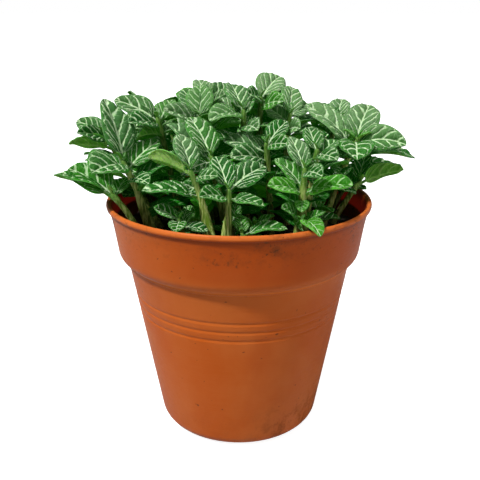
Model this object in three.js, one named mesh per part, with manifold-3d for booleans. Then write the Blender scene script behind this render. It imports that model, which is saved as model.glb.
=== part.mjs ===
// A nerve plant in a round plastic nursery pot: the pot, the soil in it, and every leafy stem,
// each a solid of its own. Millimetres, +Z up, the front of the plant at -Y, and the origin in the
// middle of the pot's underside, where it rests.

import * as THREE from "three";
import { mergeVertices } from "three/addons/utils/BufferGeometryUtils.js";
import Module from "manifold-3d";

// Pot, outer sizes
const POT_HEIGHT = 109;
const LIP_RADIUS = 60;
const LIP_HEIGHT = 8.3;
const BAND_TOP_RADIUS = 57.4;
const BAND_BOTTOM_RADIUS = 55.1;
const BAND_BOTTOM_Z = 84.8;
const STEP_BOTTOM_Z = 81.8;
const BODY_FOOT_RADIUS = 36.97;
const BODY_TAPER = 0.1758;
const FOOT_ROUNDING = 6.9;
const WALL = 1.5;
const FLOOR_TOP_Z = 2.8;
const GROOVE_HEIGHTS = [58.5, 62.8, 67.1];
const GROOVE_DEPTH = 0.45;
const GROOVE_HALF_WIDTH = 0.55;
const POT_SIDES = 36;

// Underside of the pot: a middle disc and a foot ring to stand on, a recess with drain holes between
const DISC_RADIUS = 12;
const RECESS_INNER = 12.9;
const RECESS_OUTER = 25.2;
const FOOT_RING_INNER = 26;
const RECESS_DEPTH = 1.2;
const DRAIN_HOLES = 8;
const DRAIN_RADIUS = 2.6;
const DRAIN_CIRCLE = 19;

// Soil
const SOIL_Z = 95;
const SOIL_BUMP = 0.8;
const SOIL_SIDES = 24;
const SOIL_RING_SHARES = [0.74, 0.38];
const SOIL_WAVES = { x: 0.21, y: 0.17, across: 0.33, acrossShare: 0.6, startX: 1.3, startY: -0.4 };
const HOLE_RISE = 4;
const CLEARANCE = 0.3;

// Stems
const STEM_SIDES = 5;
const STEM_STEPS = 3;
const STEM_TOP_SHARE = 0.72;
const STUB_DEPTH = 16;
const LEADING_RADIUS = 1.7;
const LOW_SHOOT = 16;
const KINK_HEIGHT = 1.4;
const BUD_LENGTH = 3;
const BUD_RADIUS = 0.45;

// Leaves
const BLADE_THICKNESS = 0.64;
const PETIOLE_SHARE = 0.17;
const PETIOLE_HALF_WIDTH = 0.8;
const ROOT_OFFSET = 0.25;
const FOLD = 14;
const BEND = 30;
const LARGE_LEAF = 10.5;
const LARGE_STATIONS = [0.14, 0.42, 0.78];
const SMALL_STATIONS = [0.2, 0.66];
const LARGE_SWELL = 1.03;
const SMALL_SWELL = 1.12;
const ROUND_POWER = 0.5;
const POINT_POWER = 0.75;
const PROBE_START = 0.3;
const TEST_MARGIN = 0.32;

const POT_COLOUR = 0xb7552b;
const SOIL_COLOUR = 0x2a1c14;
const LEAF_COLOURS = [0x2f5a34, 0x37653a, 0x2a5230, 0x3f7040];

const wasm = await Module();
wasm.setup();

const radians = (degrees) => (degrees * Math.PI) / 180;
const vector = (x, y, z) => new THREE.Vector3(x, y, z);

// Closed solids and their way to and from three.js geometry

function toSolid(geometry) {
  const bare = geometry.clone();
  bare.deleteAttribute("normal");
  bare.deleteAttribute("uv");
  const merged = mergeVertices(bare, 1e-4);
  const places = merged.getAttribute("position").array;
  const kept = [];
  const index = merged.index.array;
  for (let i = 0; i < index.length; i += 3) {
    const [a, b, c] = [index[i], index[i + 1], index[i + 2]];
    if (a !== b && b !== c && a !== c) {
      kept.push(a, b, c);
    }
  }
  return solidFrom(places, kept);
}

function signedVolume(places, index) {
  let sum = 0;
  const a = new THREE.Vector3();
  const b = new THREE.Vector3();
  const c = new THREE.Vector3();
  for (let i = 0; i < index.length; i += 3) {
    a.fromArray(places, 3 * index[i]);
    b.fromArray(places, 3 * index[i + 1]);
    c.fromArray(places, 3 * index[i + 2]);
    sum += a.dot(b.cross(c)) / 6;
  }
  return sum;
}

function solidFrom(places, index) {
  const outward = [...index];
  if (signedVolume(places, index) < 0) {
    outward.reverse();
  }
  const mesh = new wasm.Mesh({
    numProp: 3,
    vertProperties: Float32Array.from(places),
    triVerts: Uint32Array.from(outward),
  });
  return new wasm.Manifold(mesh);
}

function toGeometry(solid) {
  const mesh = solid.getMesh();
  const geometry = new THREE.BufferGeometry();
  geometry.setAttribute("position", new THREE.BufferAttribute(mesh.vertProperties, 3));
  geometry.setIndex(new THREE.BufferAttribute(mesh.triVerts, 1));
  geometry.computeVertexNormals();
  return geometry;
}

// The same small irregularities every time, as a share from 0 to 1 of three whole numbers

function hashed(a, b, c) {
  let h = Math.imul(a, 374761393) + Math.imul(b, 668265263) + Math.imul(c, 974634777) + 1013904223;
  h = Math.imul((h ^ (h >>> 13)) >>> 0, 1274126177) >>> 0;
  h = Math.imul((h ^ (h >>> 16)) >>> 0, 2246822519) >>> 0;
  return ((h ^ (h >>> 15)) >>> 0) / 2 ** 32;
}

function spread(a, b, c) {
  return 2 * hashed(a, b, c) - 1;
}

// Pot: one turned profile, closed on itself, less the drain holes

function wallRadius(z) {
  return BODY_FOOT_RADIUS + BODY_TAPER * z;
}

function potProfile() {
  const points = [];
  const add = (r, z) => points.push(new THREE.Vector2(r, z));
  const slope = Math.atan(BODY_TAPER);
  const centreR = wallRadius(FOOT_ROUNDING) - FOOT_ROUNDING / Math.cos(slope);
  add(0, 0);
  add(DISC_RADIUS, 0);
  add(RECESS_INNER, RECESS_DEPTH);
  add(RECESS_OUTER, RECESS_DEPTH);
  add(FOOT_RING_INNER, 0);
  for (const share of [0, 0.5, 1]) {
    const angle = -Math.PI / 2 + share * (Math.PI / 2 - slope);
    add(centreR + FOOT_ROUNDING * Math.cos(angle), FOOT_ROUNDING * (1 + Math.sin(angle)));
  }
  for (const z of GROOVE_HEIGHTS) {
    add(wallRadius(z - GROOVE_HALF_WIDTH), z - GROOVE_HALF_WIDTH);
    add(wallRadius(z) - GROOVE_DEPTH, z);
    add(wallRadius(z + GROOVE_HALF_WIDTH), z + GROOVE_HALF_WIDTH);
  }
  const lipZ = POT_HEIGHT - LIP_HEIGHT;
  add(wallRadius(STEP_BOTTOM_Z), STEP_BOTTOM_Z);
  add(BAND_BOTTOM_RADIUS, BAND_BOTTOM_Z);
  add(BAND_TOP_RADIUS, lipZ);
  add(LIP_RADIUS - 0.4, POT_HEIGHT - 2.4);
  add(LIP_RADIUS, POT_HEIGHT - 1.1);
  add(LIP_RADIUS - 0.7, POT_HEIGHT);
  add(LIP_RADIUS - 1.8, POT_HEIGHT - 0.2);
  add(BAND_TOP_RADIUS - WALL, lipZ - 0.3);
  add(BAND_BOTTOM_RADIUS - WALL, BAND_BOTTOM_Z + 0.4);
  add(wallRadius(STEP_BOTTOM_Z) - WALL, STEP_BOTTOM_Z + 0.4);
  add(wallRadius(FOOT_ROUNDING) - WALL, FOOT_ROUNDING);
  add(centreR + 3, FLOOR_TOP_Z);
  add(0, FLOOR_TOP_Z);
  return points;
}

function turned(profile, sides) {
  const geometry = new THREE.LatheGeometry(profile, sides);
  geometry.rotateX(Math.PI / 2);
  return geometry;
}

function makePot() {
  let pot = toSolid(turned(potProfile(), POT_SIDES));
  for (let i = 0; i < DRAIN_HOLES; i += 1) {
    const angle = (2 * Math.PI * (i + 0.5)) / DRAIN_HOLES;
    const hole = new THREE.CylinderGeometry(DRAIN_RADIUS, DRAIN_RADIUS, 3 * FLOOR_TOP_Z, 8);
    hole.rotateX(Math.PI / 2);
    hole.translate(DRAIN_CIRCLE * Math.cos(angle), DRAIN_CIRCLE * Math.sin(angle), FLOOR_TOP_Z / 2);
    pot = pot.subtract(toSolid(hole));
  }
  return pot;
}

// Soil: fills the pot up to an uneven top, with a plain upright hole for each stem

function soilHeight(x, y) {
  const { startX, startY, across, acrossShare } = SOIL_WAVES;
  const wave = Math.sin(SOIL_WAVES.x * x + startX) * Math.cos(SOIL_WAVES.y * y + startY);
  return SOIL_Z + SOIL_BUMP * (wave + acrossShare * Math.sin(across * (x - y)));
}

function soilProfile() {
  const points = [];
  const add = (r, z) => points.push(new THREE.Vector2(r, z));
  const inner = (z) => wallRadius(z) - WALL - CLEARANCE - 0.05;
  const bandInner = BAND_BOTTOM_RADIUS - WALL - CLEARANCE - 0.05;
  add(0, FLOOR_TOP_Z + CLEARANCE);
  add(inner(0) - 3, FLOOR_TOP_Z + CLEARANCE);
  add(inner(FOOT_ROUNDING), FOOT_ROUNDING + CLEARANCE);
  add(inner(STEP_BOTTOM_Z), STEP_BOTTOM_Z + 0.4 + CLEARANCE);
  add(bandInner, BAND_BOTTOM_Z + 0.4 + CLEARANCE);
  add(bandInner + 0.9, SOIL_Z - 1);
  for (const share of SOIL_RING_SHARES) {
    add(bandInner * share, SOIL_Z);
  }
  add(0, SOIL_Z);
  return points;
}

function makeSoil(shoots) {
  const geometry = turned(soilProfile(), SOIL_SIDES);
  const places = geometry.getAttribute("position");
  for (let i = 0; i < places.count; i += 1) {
    if (places.getZ(i) > SOIL_Z - 0.5) {
      places.setZ(i, soilHeight(places.getX(i), places.getY(i)));
    }
  }
  let soil = toSolid(geometry);
  const top = SOIL_Z + HOLE_RISE;
  for (const shoot of shoots) {
    const bottom = SOIL_Z - STUB_DEPTH - CLEARANCE;
    const radius = shoot.radius + CLEARANCE / Math.cos(Math.PI / STEM_SIDES);
    const hole = new THREE.CylinderGeometry(radius, radius, top - bottom, STEM_SIDES);
    hole.rotateX(Math.PI / 2);
    hole.translate(shoot.foot.x, shoot.foot.y, (top + bottom) / 2);
    soil = soil.subtract(toSolid(hole));
  }
  return soil;
}

// Stems: upright out of the soil, then along a curve to the top, which leans with the light

class Shoot {
  constructor(name, foot, top, lean, radius) {
    this.name = name;
    this.foot = vector(foot[0], foot[1], SOIL_Z);
    this.top = vector(top[0], top[1], top[2]);
    this.radius = radius;
    this.axis = vector(lean[0], lean[1], 1).normalize();
    this.length = this.foot.distanceTo(this.top);
    const middle = this.top.clone().addScaledVector(this.axis, -0.5 * this.length);
    this.curve = new THREE.QuadraticBezierCurve3(this.foot, middle, this.top);
    this.isLeading = false;
    this.leaves = [];
  }

  // The place and direction on the stem at a distance below its top
  at(drop) {
    const share = 1 - drop / this.length;
    return { place: this.curve.getPoint(share), along: this.curve.getTangent(share) };
  }

  stations() {
    const list = [];
    const up = vector(0, 0, 1);
    const stub = vector(this.foot.x, this.foot.y, SOIL_Z - STUB_DEPTH);
    list.push({ place: stub, along: up, radius: this.radius });
    for (let i = 0; i <= STEM_STEPS; i += 1) {
      const share = i / STEM_STEPS;
      const place = this.curve.getPoint(share);
      const along = i === 0 ? up : this.curve.getTangent(share);
      const radius = this.radius * (1 - share * (1 - STEM_TOP_SHARE));
      if (i === 0) {
        place.z += KINK_HEIGHT;
      }
      list.push({ place, along, radius });
    }
    const tip = this.top.clone().addScaledVector(this.axis, BUD_LENGTH);
    list.push({ place: tip, along: this.axis, radius: BUD_RADIUS });
    return list;
  }

  stem(margin = 0) {
    const stations = this.stations();
    const steps = stations.length - 1;
    const tube = new THREE.CylinderGeometry(1, 1, steps, STEM_SIDES, steps);
    const places = tube.getAttribute("position");
    const point = new THREE.Vector3();
    for (let i = 0; i < places.count; i += 1) {
      point.fromBufferAttribute(places, i);
      const { place, along, radius } = stations[Math.round(point.y + steps / 2)];
      const side = vector(1, 0, 0);
      side.addScaledVector(along, -side.dot(along)).normalize();
      const across = along.clone().cross(side);
      const moved = place.clone();
      moved.addScaledVector(side, point.x * (radius + margin));
      moved.addScaledVector(across, -point.z * (radius + margin));
      places.setXYZ(i, moved.x, moved.y, moved.z);
    }
    return toSolid(tube);
  }
}

// Leaves: a short flat stalk, then an oval pointed blade, folded a little along its midrib and
// arched down from its root

class Leaf {
  constructor(root, turn, lift, long, wide, roll, bend, isLarge) {
    this.root = root;
    this.turn = turn;
    this.lift = lift;
    this.long = long;
    this.wide = wide;
    this.roll = roll;
    this.bend = bend;
    this.isLarge = isLarge;
  }

  // The midrib's place and the blade's axes at a share of the whole length
  frame(share) {
    const bend = radians(this.bend);
    const first = radians(this.lift) + bend / 2;
    const rate = bend / this.long;
    const angle = first - rate * share * this.long;
    const out = (Math.sin(first) - Math.sin(angle)) / rate;
    const rise = (Math.cos(angle) - Math.cos(first)) / rate;
    const heading = vector(Math.cos(radians(this.turn)), Math.sin(radians(this.turn)), 0);
    const up = vector(0, 0, 1);
    const place = this.root.clone().addScaledVector(heading, out).addScaledVector(up, rise);
    const along = heading.clone().multiplyScalar(Math.cos(angle)).addScaledVector(up, Math.sin(angle));
    const flatNormal = up.clone().multiplyScalar(Math.cos(angle));
    flatNormal.addScaledVector(heading, -Math.sin(angle));
    const flatSide = flatNormal.clone().cross(along);
    const roll = radians(this.roll);
    const side = flatSide.clone().multiplyScalar(Math.cos(roll));
    side.addScaledVector(flatNormal, Math.sin(roll));
    const normal = flatNormal.multiplyScalar(Math.cos(roll));
    normal.addScaledVector(flatSide, -Math.sin(roll));
    return { place, side, normal };
  }

  halfWidth(share) {
    const blade = (share - PETIOLE_SHARE) / (1 - PETIOLE_SHARE);
    const form = (share) => share ** ROUND_POWER * (1 - share) ** POINT_POWER;
    const widest = ROUND_POWER / (ROUND_POWER + POINT_POWER);
    return (0.5 * this.wide * form(blade)) / form(widest);
  }

  // Rows of points across the leaf from root to tip: one or two in the stalk, three in the blade,
  // one at the tip
  rows(margin) {
    const rows = [];
    const fold = radians(FOLD);
    const rim = (frame, half, way) => {
      const point = frame.place.clone();
      point.addScaledVector(frame.side, way * half * Math.cos(fold));
      return point.addScaledVector(frame.normal, half * Math.sin(fold));
    };
    const start = margin > 0 ? PROBE_START * PETIOLE_SHARE : ROOT_OFFSET / this.long;
    for (const share of [start, PETIOLE_SHARE]) {
      const frame = this.frame(share);
      const half = PETIOLE_HALF_WIDTH + margin;
      if (share === start && !this.isLarge) {
        rows.push({ points: [frame.place], normal: frame.normal });
        continue;
      }
      const left = frame.place.clone().addScaledVector(frame.side, half);
      const right = frame.place.clone().addScaledVector(frame.side, -half);
      rows.push({ points: [left, right], normal: frame.normal });
    }
    const stations = this.isLarge ? LARGE_STATIONS : SMALL_STATIONS;
    for (const station of stations) {
      const share = PETIOLE_SHARE + station * (1 - PETIOLE_SHARE);
      const frame = this.frame(share);
      const half = (this.isLarge ? LARGE_SWELL : SMALL_SWELL) * this.halfWidth(share) + margin;
      const points = [rim(frame, half, 1), frame.place.clone(), rim(frame, half, -1)];
      rows.push({ points, normal: frame.normal });
    }
    const tip = this.frame(1 + margin / this.long);
    rows.push({ points: [tip.place], normal: tip.normal });
    return rows;
  }

  blade(margin = 0) {
    const rows = this.rows(margin);
    const upper = [];
    const lower = [];
    const starts = [];
    for (const row of rows) {
      starts.push(upper.length);
      for (const point of row.points) {
        upper.push(point.clone().addScaledVector(row.normal, margin));
        lower.push(point.clone().addScaledVector(row.normal, -BLADE_THICKNESS - margin));
      }
    }
    const face = [];
    for (let i = 0; i + 1 < rows.length; i += 1) {
      face.push(...strip(starts[i], rows[i].points.length, starts[i + 1], rows[i + 1].points.length));
    }
    const count = upper.length;
    const index = [...face];
    for (let i = 0; i < face.length; i += 3) {
      index.push(face[i] + count, face[i + 2] + count, face[i + 1] + count);
    }
    const rights = rows.map((row, i) => starts[i] + row.points.length - 1);
    const loop = [...new Set([...starts, ...rights.reverse()])];
    for (let i = 0; i < loop.length; i += 1) {
      const a = loop[i];
      const b = loop[(i + 1) % loop.length];
      index.push(a, b, b + count, a, b + count, a + count);
    }
    const places = [...upper, ...lower].flatMap((point) => point.toArray());
    return solidFrom(places, index);
  }
}

// Triangles between two neighbouring rows of one, two or three points
function strip(a, countA, b, countB) {
  if (countA === 1) {
    return [a, b + 1, b];
  }
  if (countA === 2 && countB === 2) {
    return [a, a + 1, b, a + 1, b + 1, b];
  }
  if (countA === 2 && countB === 3) {
    return [a, b + 1, b, a, a + 1, b + 1, a + 1, b + 2, b + 1];
  }
  if (countA === 3 && countB === 3) {
    return [a, a + 1, b + 1, a, b + 1, b, a + 1, a + 2, b + 1, a + 2, b + 2, b + 1];
  }
  return [a, a + 1, b, a + 1, a + 2, b];
}

// A solid already in place, with the shoot that it belongs to

class Obstacle {
  constructor(owner, solid) {
    this.owner = owner;
    this.solid = solid;
    this.box = solid.boundingBox();
  }

  meets(solid, box) {
    for (let k = 0; k < 3; k += 1) {
      if (box.min[k] > this.box.max[k] || box.max[k] < this.box.min[k]) {
        return false;
      }
    }
    const shared = this.solid.intersect(solid);
    const crossed = !shared.isEmpty();
    shared.delete();
    return crossed;
  }
}

// The shoots that stand in front and along the outline, each with its leaves from the top down:
// distance below the top, direction round (0 to the right, 90 to the back), lift above level,
// whole length, width, roll about the midrib, and the arch from root to tip where it isn't the usual

function leafRow(drop, turn, lift, long, wide, roll, bend = BEND) {
  return { drop, turn, lift, long, wide, roll, bend };
}

const LEADING_SHOOTS = [
  {
    foot: [38, -6],
    top: [52, -4, 136],
    lean: [0.35, -0.4],
    leaves: [
      leafRow(2, 61, 41, 22, 15, 9),
      leafRow(2, -97, -9, 22, 14.5, 0),
      leafRow(5, -23, 7, 24.5, 12, 50, 60),
      leafRow(5, 156, 38, 29, 14.5, -20),
      leafRow(10, 12, -3, 33, 11, 8, 40),
      leafRow(16, -106, 2, 18, 9, -6),
    ],
  },
  {
    foot: [14, -20],
    top: [11.5, -16, 136],
    lean: [-0.1, -0.4],
    leaves: [
      leafRow(2, 52, 31, 18, 9, 20),
      leafRow(2, -56, 13, 16, 8, 45),
      leafRow(5, 168, 14, 20, 10, -33),
      leafRow(9, -138, 13, 22, 11, -39),
      leafRow(19, 35, 5, 20, 11, 10),
      leafRow(19, -150, 2, 20, 11, -10),
    ],
  },
  {
    foot: [-5, -17],
    top: [-11.5, -21, 131.5],
    lean: [-0.1, -0.35],
    leaves: [
      leafRow(2, 128, 45, 23, 13.5, -3),
      leafRow(3, -127, -6, 20, 10, -24),
      leafRow(8, -52, 6, 18, 9, 33),
      leafRow(15, -155, 0, 18, 9, -36),
      leafRow(4, 166, 39, 26, 12.5, -12),
    ],
  },
  {
    foot: [-3, -44],
    top: [-4, -44, 123],
    lean: [0.05, -0.1],
    leaves: [
      leafRow(1, 113, 40, 18, 10, -3),
      leafRow(1, 44, 19, 22, 12, 24),
      leafRow(4, -130, 15, 17, 8.5, -33),
      leafRow(4, -23, -4, 15, 7.5, 15),
    ],
  },
  {
    foot: [-9, -42],
    top: [-19, -40, 129.5],
    lean: [-0.35, -0.25],
    leaves: [
      leafRow(1.5, 117, 46, 19, 11, 12),
      leafRow(1.5, 150, 16, 20, 10, 54),
      leafRow(4, -44, 15, 14, 7, 40),
      leafRow(12, -164, 11, 24, 11, -12),
    ],
  },
  {
    foot: [-34, -26],
    top: [-47.5, -28, 131],
    lean: [-0.35, -0.35],
    leaves: [
      leafRow(2, 132, 63, 29, 14.5, 6),
      leafRow(2, -119, 2, 20, 16.5, -24),
      leafRow(5, 43, 32, 20, 10, 30),
      leafRow(9, -56, 4, 16, 8, 20),
    ],
  },
  {
    foot: [-42, -20],
    top: [-53, -26, 116.5],
    lean: [-0.7, -0.3],
    leaves: [
      leafRow(2, 158, 25, 25, 15, -24),
      leafRow(3, 179, 22, 28, 12, 6),
      leafRow(2, 77, 23, 14, 7, 6),
    ],
  },
  {
    foot: [-36, -4],
    top: [-59, -4, 138],
    lean: [-0.5, -0.2],
    leaves: [
      leafRow(2, 151, 19, 18, 9, -42),
      leafRow(4, -134, 20, 17, 8.5, -45),
      leafRow(8, -158, 11, 20, 10, 42),
      leafRow(3, 83, 28, 16, 9, 3),
      leafRow(19, -60, 0, 19, 10.5, 8),
      leafRow(19, 120, 4, 22, 12, -6),
    ],
  },
  {
    foot: [-26, -8],
    top: [-35, -8, 145.5],
    lean: [-0.2, -0.25],
    leaves: [
      leafRow(2, 167, 24, 22, 11, -39),
      leafRow(4, -133, 12, 20, 10, -30),
      leafRow(4, 140, 34, 24, 8, 24),
      leafRow(3, 73, 29, 18, 9, 0),
      leafRow(8, -120, 6, 18, 9, 54),
      leafRow(21, -40, 2, 20, 11, 14),
    ],
  },
  {
    foot: [-13, 2],
    top: [-17.5, 3, 144.5],
    lean: [-0.1, -0.3],
    leaves: [
      leafRow(2, 118, 32, 22, 11, -18),
      leafRow(2, 74, 31, 20, 12, -6),
      leafRow(6, -153, 26, 24, 12, -39),
      leafRow(6, 57, 24, 18, 9, 20),
      leafRow(18, 165, 5, 22, 12, -12),
      leafRow(18, -20, 3, 21, 11, 14),
    ],
  },
  {
    foot: [-12, 14],
    top: [-15, 16, 151.5],
    lean: [-0.1, -0.1],
    leaves: [
      leafRow(2, 107, 27, 18, 9, 0),
      leafRow(2, 56, 14, 20, 12, 20),
      leafRow(5, 144, 16, 20, 10, -24),
      leafRow(5, -69, 7, 18, 9, 45),
      leafRow(16, -160, 0, 22, 12, 0),
      leafRow(16, 20, 5, 22, 12, 0),
    ],
  },
  {
    foot: [4, 0],
    top: [2, -2, 148],
    lean: [0, -0.25],
    leaves: [
      leafRow(2, 108, 31, 22, 12, 9),
      leafRow(4, -133, 4, 22, 11, -20, 60),
      leafRow(4, 72, 20, 20, 10, -20),
      leafRow(8, -71, 5, 18, 9, 33),
      leafRow(18, 175, 5, 21, 12, -14),
      leafRow(18, -5, 3, 21, 12, 12),
      leafRow(29, 80, 0, 20, 11, 0),
      leafRow(29, -100, -4, 19, 11, 0),
    ],
  },
  {
    foot: [10, 12],
    top: [10, 10, 152],
    lean: [0.05, -0.1],
    leaves: [
      leafRow(1, 60, 25, 21, 13, 24),
      leafRow(2, -132, 12, 16, 8, -54),
      leafRow(5, -57, 16, 18, 9, 50),
      leafRow(5, 107, 31, 18, 9, 9),
      leafRow(17, 15, 4, 22, 12, 0),
    ],
  },
  {
    foot: [22, 0],
    top: [22.5, 0, 146],
    lean: [0.1, -0.3],
    leaves: [
      leafRow(2, 52, 17, 16, 8.5, 30),
      leafRow(2, 92, 32, 22, 11, 27),
      leafRow(5, 131, 21, 16, 8.5, -27),
      leafRow(8, -75, 12, 16, 8, 60),
      leafRow(19, 5, 4, 21, 12, 12),
      leafRow(19, -170, 3, 21, 12, -12),
      leafRow(31, 95, 0, 20, 11, 0),
    ],
  },
  {
    foot: [22, -38],
    top: [26, -38, 130],
    lean: [0, -0.2],
    leaves: [
      leafRow(2, 115, 45, 18, 9, 0),
      leafRow(2, -71, 8, 16, 8, 36),
      leafRow(11, -29, 17, 22, 11, 24),
      leafRow(11, -149, 19, 18, 9, -33),
      leafRow(9, 141, 37, 18, 9, -9),
      leafRow(22, -132, 34, 14, 7, -51),
    ],
  },
  {
    foot: [28, -22],
    top: [32.5, -22, 134.5],
    lean: [0.1, -0.3],
    leaves: [
      leafRow(2, 101, 34, 16, 8.5, 3),
      leafRow(3, -64, 5, 16, 8, 30),
      leafRow(5, -126, 9, 14, 7, -36),
      leafRow(5, 42, 25, 16, 8, 6),
    ],
  },
  {
    foot: [44, 3],
    top: [55.5, 2, 115],
    lean: [0.7, -0.2],
    leaves: [
      leafRow(1.5, 6, 17, 22, 11, -54),
      leafRow(1.5, 66, 46, 18, 9, 0),
      leafRow(5, -118, 13, 16, 8, -45),
    ],
  },
  {
    foot: [30, 16],
    top: [45.5, 14, 141],
    lean: [0.3, 0],
    leaves: [
      leafRow(2, 74, 29, 20, 10, 0),
      leafRow(2, 113, 26, 18, 9, -6),
      leafRow(5, -49, 28, 18, 9, 48),
      leafRow(5, -112, 13, 16, 8, -57),
    ],
  },
  {
    foot: [6, -46],
    top: [1, -48, 106.5],
    lean: [-0.4, -0.1],
    leaves: [
      leafRow(1, 2, 8, 18, 10, 4),
      leafRow(1, 95, 22, 11, 6, 0),
    ],
  },
  {
    foot: [31, -33],
    top: [25, -43, 110],
    lean: [-0.3, -0.4],
    leaves: [
      leafRow(0.5, -65, -8, 15, 8, 0, 70),
      leafRow(2, 20, 25, 11, 6, 0),
    ],
  },
  {
    foot: [-21, -40],
    top: [-24, -42, 110.5],
    lean: [-0.3, -0.2],
    leaves: [
      leafRow(1, -95, -12, 9, 7, 0),
      leafRow(1, 165, 25, 12, 7, -20),
      leafRow(4, -12, -4, 11, 6.5, 20),
      leafRow(4, 80, 30, 10, 6, 0),
    ],
  },
];

// The other shoots follow a rule: sown on a spiral, leaning outwards, with opposite pairs of leaves
// that each stand across the pair above

const TALL = { count: 17, rise: 56, edgeDrop: 24, riseSpread: 4, radius: 1.35, leaf: 23 };
const LOW = { count: 4, rise: 11, edgeDrop: 0, riseSpread: 2, radius: 1.05, leaf: 12 };
const SOWING_RADIUS = 46;
const SOWING_ANGLE = 137.508;
const SOWING_TURNS = 45;
const SOWING_START = 0.02;
const FOOT_SPACING = 7.2;
const FOOT_SPREAD = 1.5;
const FRONT_EDGE = -12;
const TALL_REACH = 1.18;
const TALL_EDGE_REACH = 0.26;
const LOW_REACH = 1.08;
const LEAN_DISTANCE = 70;
const PAIRS = [
  { drop: 2, lift: 32, size: 0.85 },
  { drop: 12, lift: 12, size: 1 },
  { drop: 25, lift: 2, size: 0.95 },
];
const LEAF_WIDTH_SHARE = 0.55;
const SOWN_BEND = 34;
const HEADING_SPREAD = 14;
const SIZE_SPREAD = 0.12;
const LIFT_SPREAD = 8;
const ROLL_SPREAD = 14;
const DROOP_SHARE = 0.8;
const LOW_PAIRS = [
  { drop: 1, lift: 30, size: 0.9 },
  { drop: 6, lift: 10, size: 1 },
];

function followPairs(shoot, seed, pairs, long, turn) {
  const rows = [];
  pairs.forEach((pair, k) => {
    const { along } = shoot.at(pair.drop);
    for (const side of [0, 1]) {
      const n = 2 * k + side;
      const heading = turn + 90 * k + 180 * side + HEADING_SPREAD * spread(seed, n, 1);
      const tilt = along.x * Math.cos(radians(heading)) + along.y * Math.sin(radians(heading));
      const droop = (180 / Math.PI) * Math.asin(tilt);
      const size = pair.size * long * (1 + SIZE_SPREAD * spread(seed, n, 2));
      const lift = pair.lift - DROOP_SHARE * droop + LIFT_SPREAD * spread(seed, n, 3);
      const roll = ROLL_SPREAD * spread(seed, n, 4);
      rows.push(leafRow(pair.drop, heading, lift, size, LEAF_WIDTH_SHARE * size, roll, SOWN_BEND));
    }
  });
  return rows;
}

// One shoot of the spiral, or nothing where its turn falls on a kind that is complete
function sowShoot(j, sown) {
  const angle = radians(j * SOWING_ANGLE);
  const reach = SOWING_RADIUS * Math.sqrt((j % SOWING_TURNS) / SOWING_TURNS + SOWING_START);
  const x = reach * Math.cos(angle) + FOOT_SPREAD * spread(j, 1, 5);
  const y = reach * Math.sin(angle) + FOOT_SPREAD * spread(j, 2, 5);
  const isTall = y > FRONT_EDGE;
  const kind = isTall ? TALL : LOW;
  const made = sown.filter((shoot) => shoot.kind === kind).length;
  if (made === kind.count) {
    return null;
  }
  const edge = (reach / SOWING_RADIUS) ** 2;
  const rise = kind.rise - kind.edgeDrop * edge + kind.riseSpread * spread(j, 3, 5);
  const out = isTall ? TALL_REACH + TALL_EDGE_REACH * edge : LOW_REACH;
  const top = [x * out, y * out, SOIL_Z + rise];
  const lean = [x / LEAN_DISTANCE, y / LEAN_DISTANCE];
  const name = `${isTall ? "shoot_back" : "shoot_low"}_${made + 1}`;
  const shoot = new Shoot(name, [x, y], top, lean, kind.radius);
  shoot.kind = kind;
  shoot.rows = followPairs(shoot, j, isTall ? PAIRS : LOW_PAIRS, kind.leaf, 180 * hashed(j, 4, 5));
  return shoot;
}

// Sown shoots keep their distance from every foot and stay clear of all that already stands
function sowShoots(leading, obstacles) {
  const sown = [];
  const feet = leading.map((shoot) => shoot.foot);
  const inTheWay = obstacles.filter((item) => item.owner);
  for (let j = 0; j < 2 * SOWING_TURNS; j += 1) {
    const shoot = sowShoot(j, sown);
    if (!shoot || feet.some((foot) => foot.distanceTo(shoot.foot) < FOOT_SPACING)) {
      continue;
    }
    const probe = shoot.stem(TEST_MARGIN);
    const box = probe.boundingBox();
    if (inTheWay.some((item) => item.meets(probe, box))) {
      continue;
    }
    const stem = new Obstacle(shoot, shoot.stem());
    inTheWay.push(stem);
    obstacles.push(stem);
    feet.push(shoot.foot);
    sown.push(shoot);
  }
  return sown;
}

// Each leaf takes the first of these small changes of direction, lift and size that keeps it clear
// of the pot, the soil and every other shoot, and is left off where none does

const CHANGES = [];
for (const size of [1, 0.86, 0.72]) {
  for (const lift of [0, 7, -7, 14, -14, 22]) {
    for (const turn of [0, 9, -9, 18, -18]) {
      CHANGES.push({ turn, lift, size });
    }
  }
}

function growLeaves(shoots, obstacles) {
  for (const shoot of shoots) {
    for (const row of shoot.rows) {
      const { place } = shoot.at(row.drop);
      for (const change of CHANGES) {
        const leaf = new Leaf(
          place,
          row.turn + change.turn,
          row.lift + change.lift,
          row.long * change.size,
          row.wide * change.size,
          row.roll,
          row.bend,
          shoot.isLeading && row.wide >= LARGE_LEAF && row.drop < LARGE_LEAF,
        );
        const probe = leaf.blade(TEST_MARGIN);
        const box = probe.boundingBox();
        const blocked = obstacles.some((item) => item.owner !== shoot && item.meets(probe, box));
        probe.delete();
        if (!blocked) {
          shoot.leaves.push(leaf);
          obstacles.push(new Obstacle(shoot, leaf.blade()));
          break;
        }
      }
    }
  }
}

function makeShoot(shoot) {
  let solid = shoot.stem();
  for (const leaf of shoot.leaves) {
    solid = solid.add(leaf.blade());
  }
  return solid;
}

// Assembly

function addPart(group, name, solid, colour, roughness) {
  const material = new THREE.MeshStandardMaterial({ color: colour, roughness, metalness: 0 });
  const mesh = new THREE.Mesh(toGeometry(solid), material);
  mesh.name = name;
  group.add(mesh);
}

const leading = LEADING_SHOOTS.map((given, i) => {
  const isLow = given.top[2] < SOIL_Z + LOW_SHOOT;
  const radius = isLow ? LOW.radius : LEADING_RADIUS;
  const shoot = new Shoot(`shoot_${i + 1}`, given.foot, given.top, given.lean, radius);
  shoot.rows = given.leaves;
  shoot.isLeading = true;
  return shoot;
});

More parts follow.
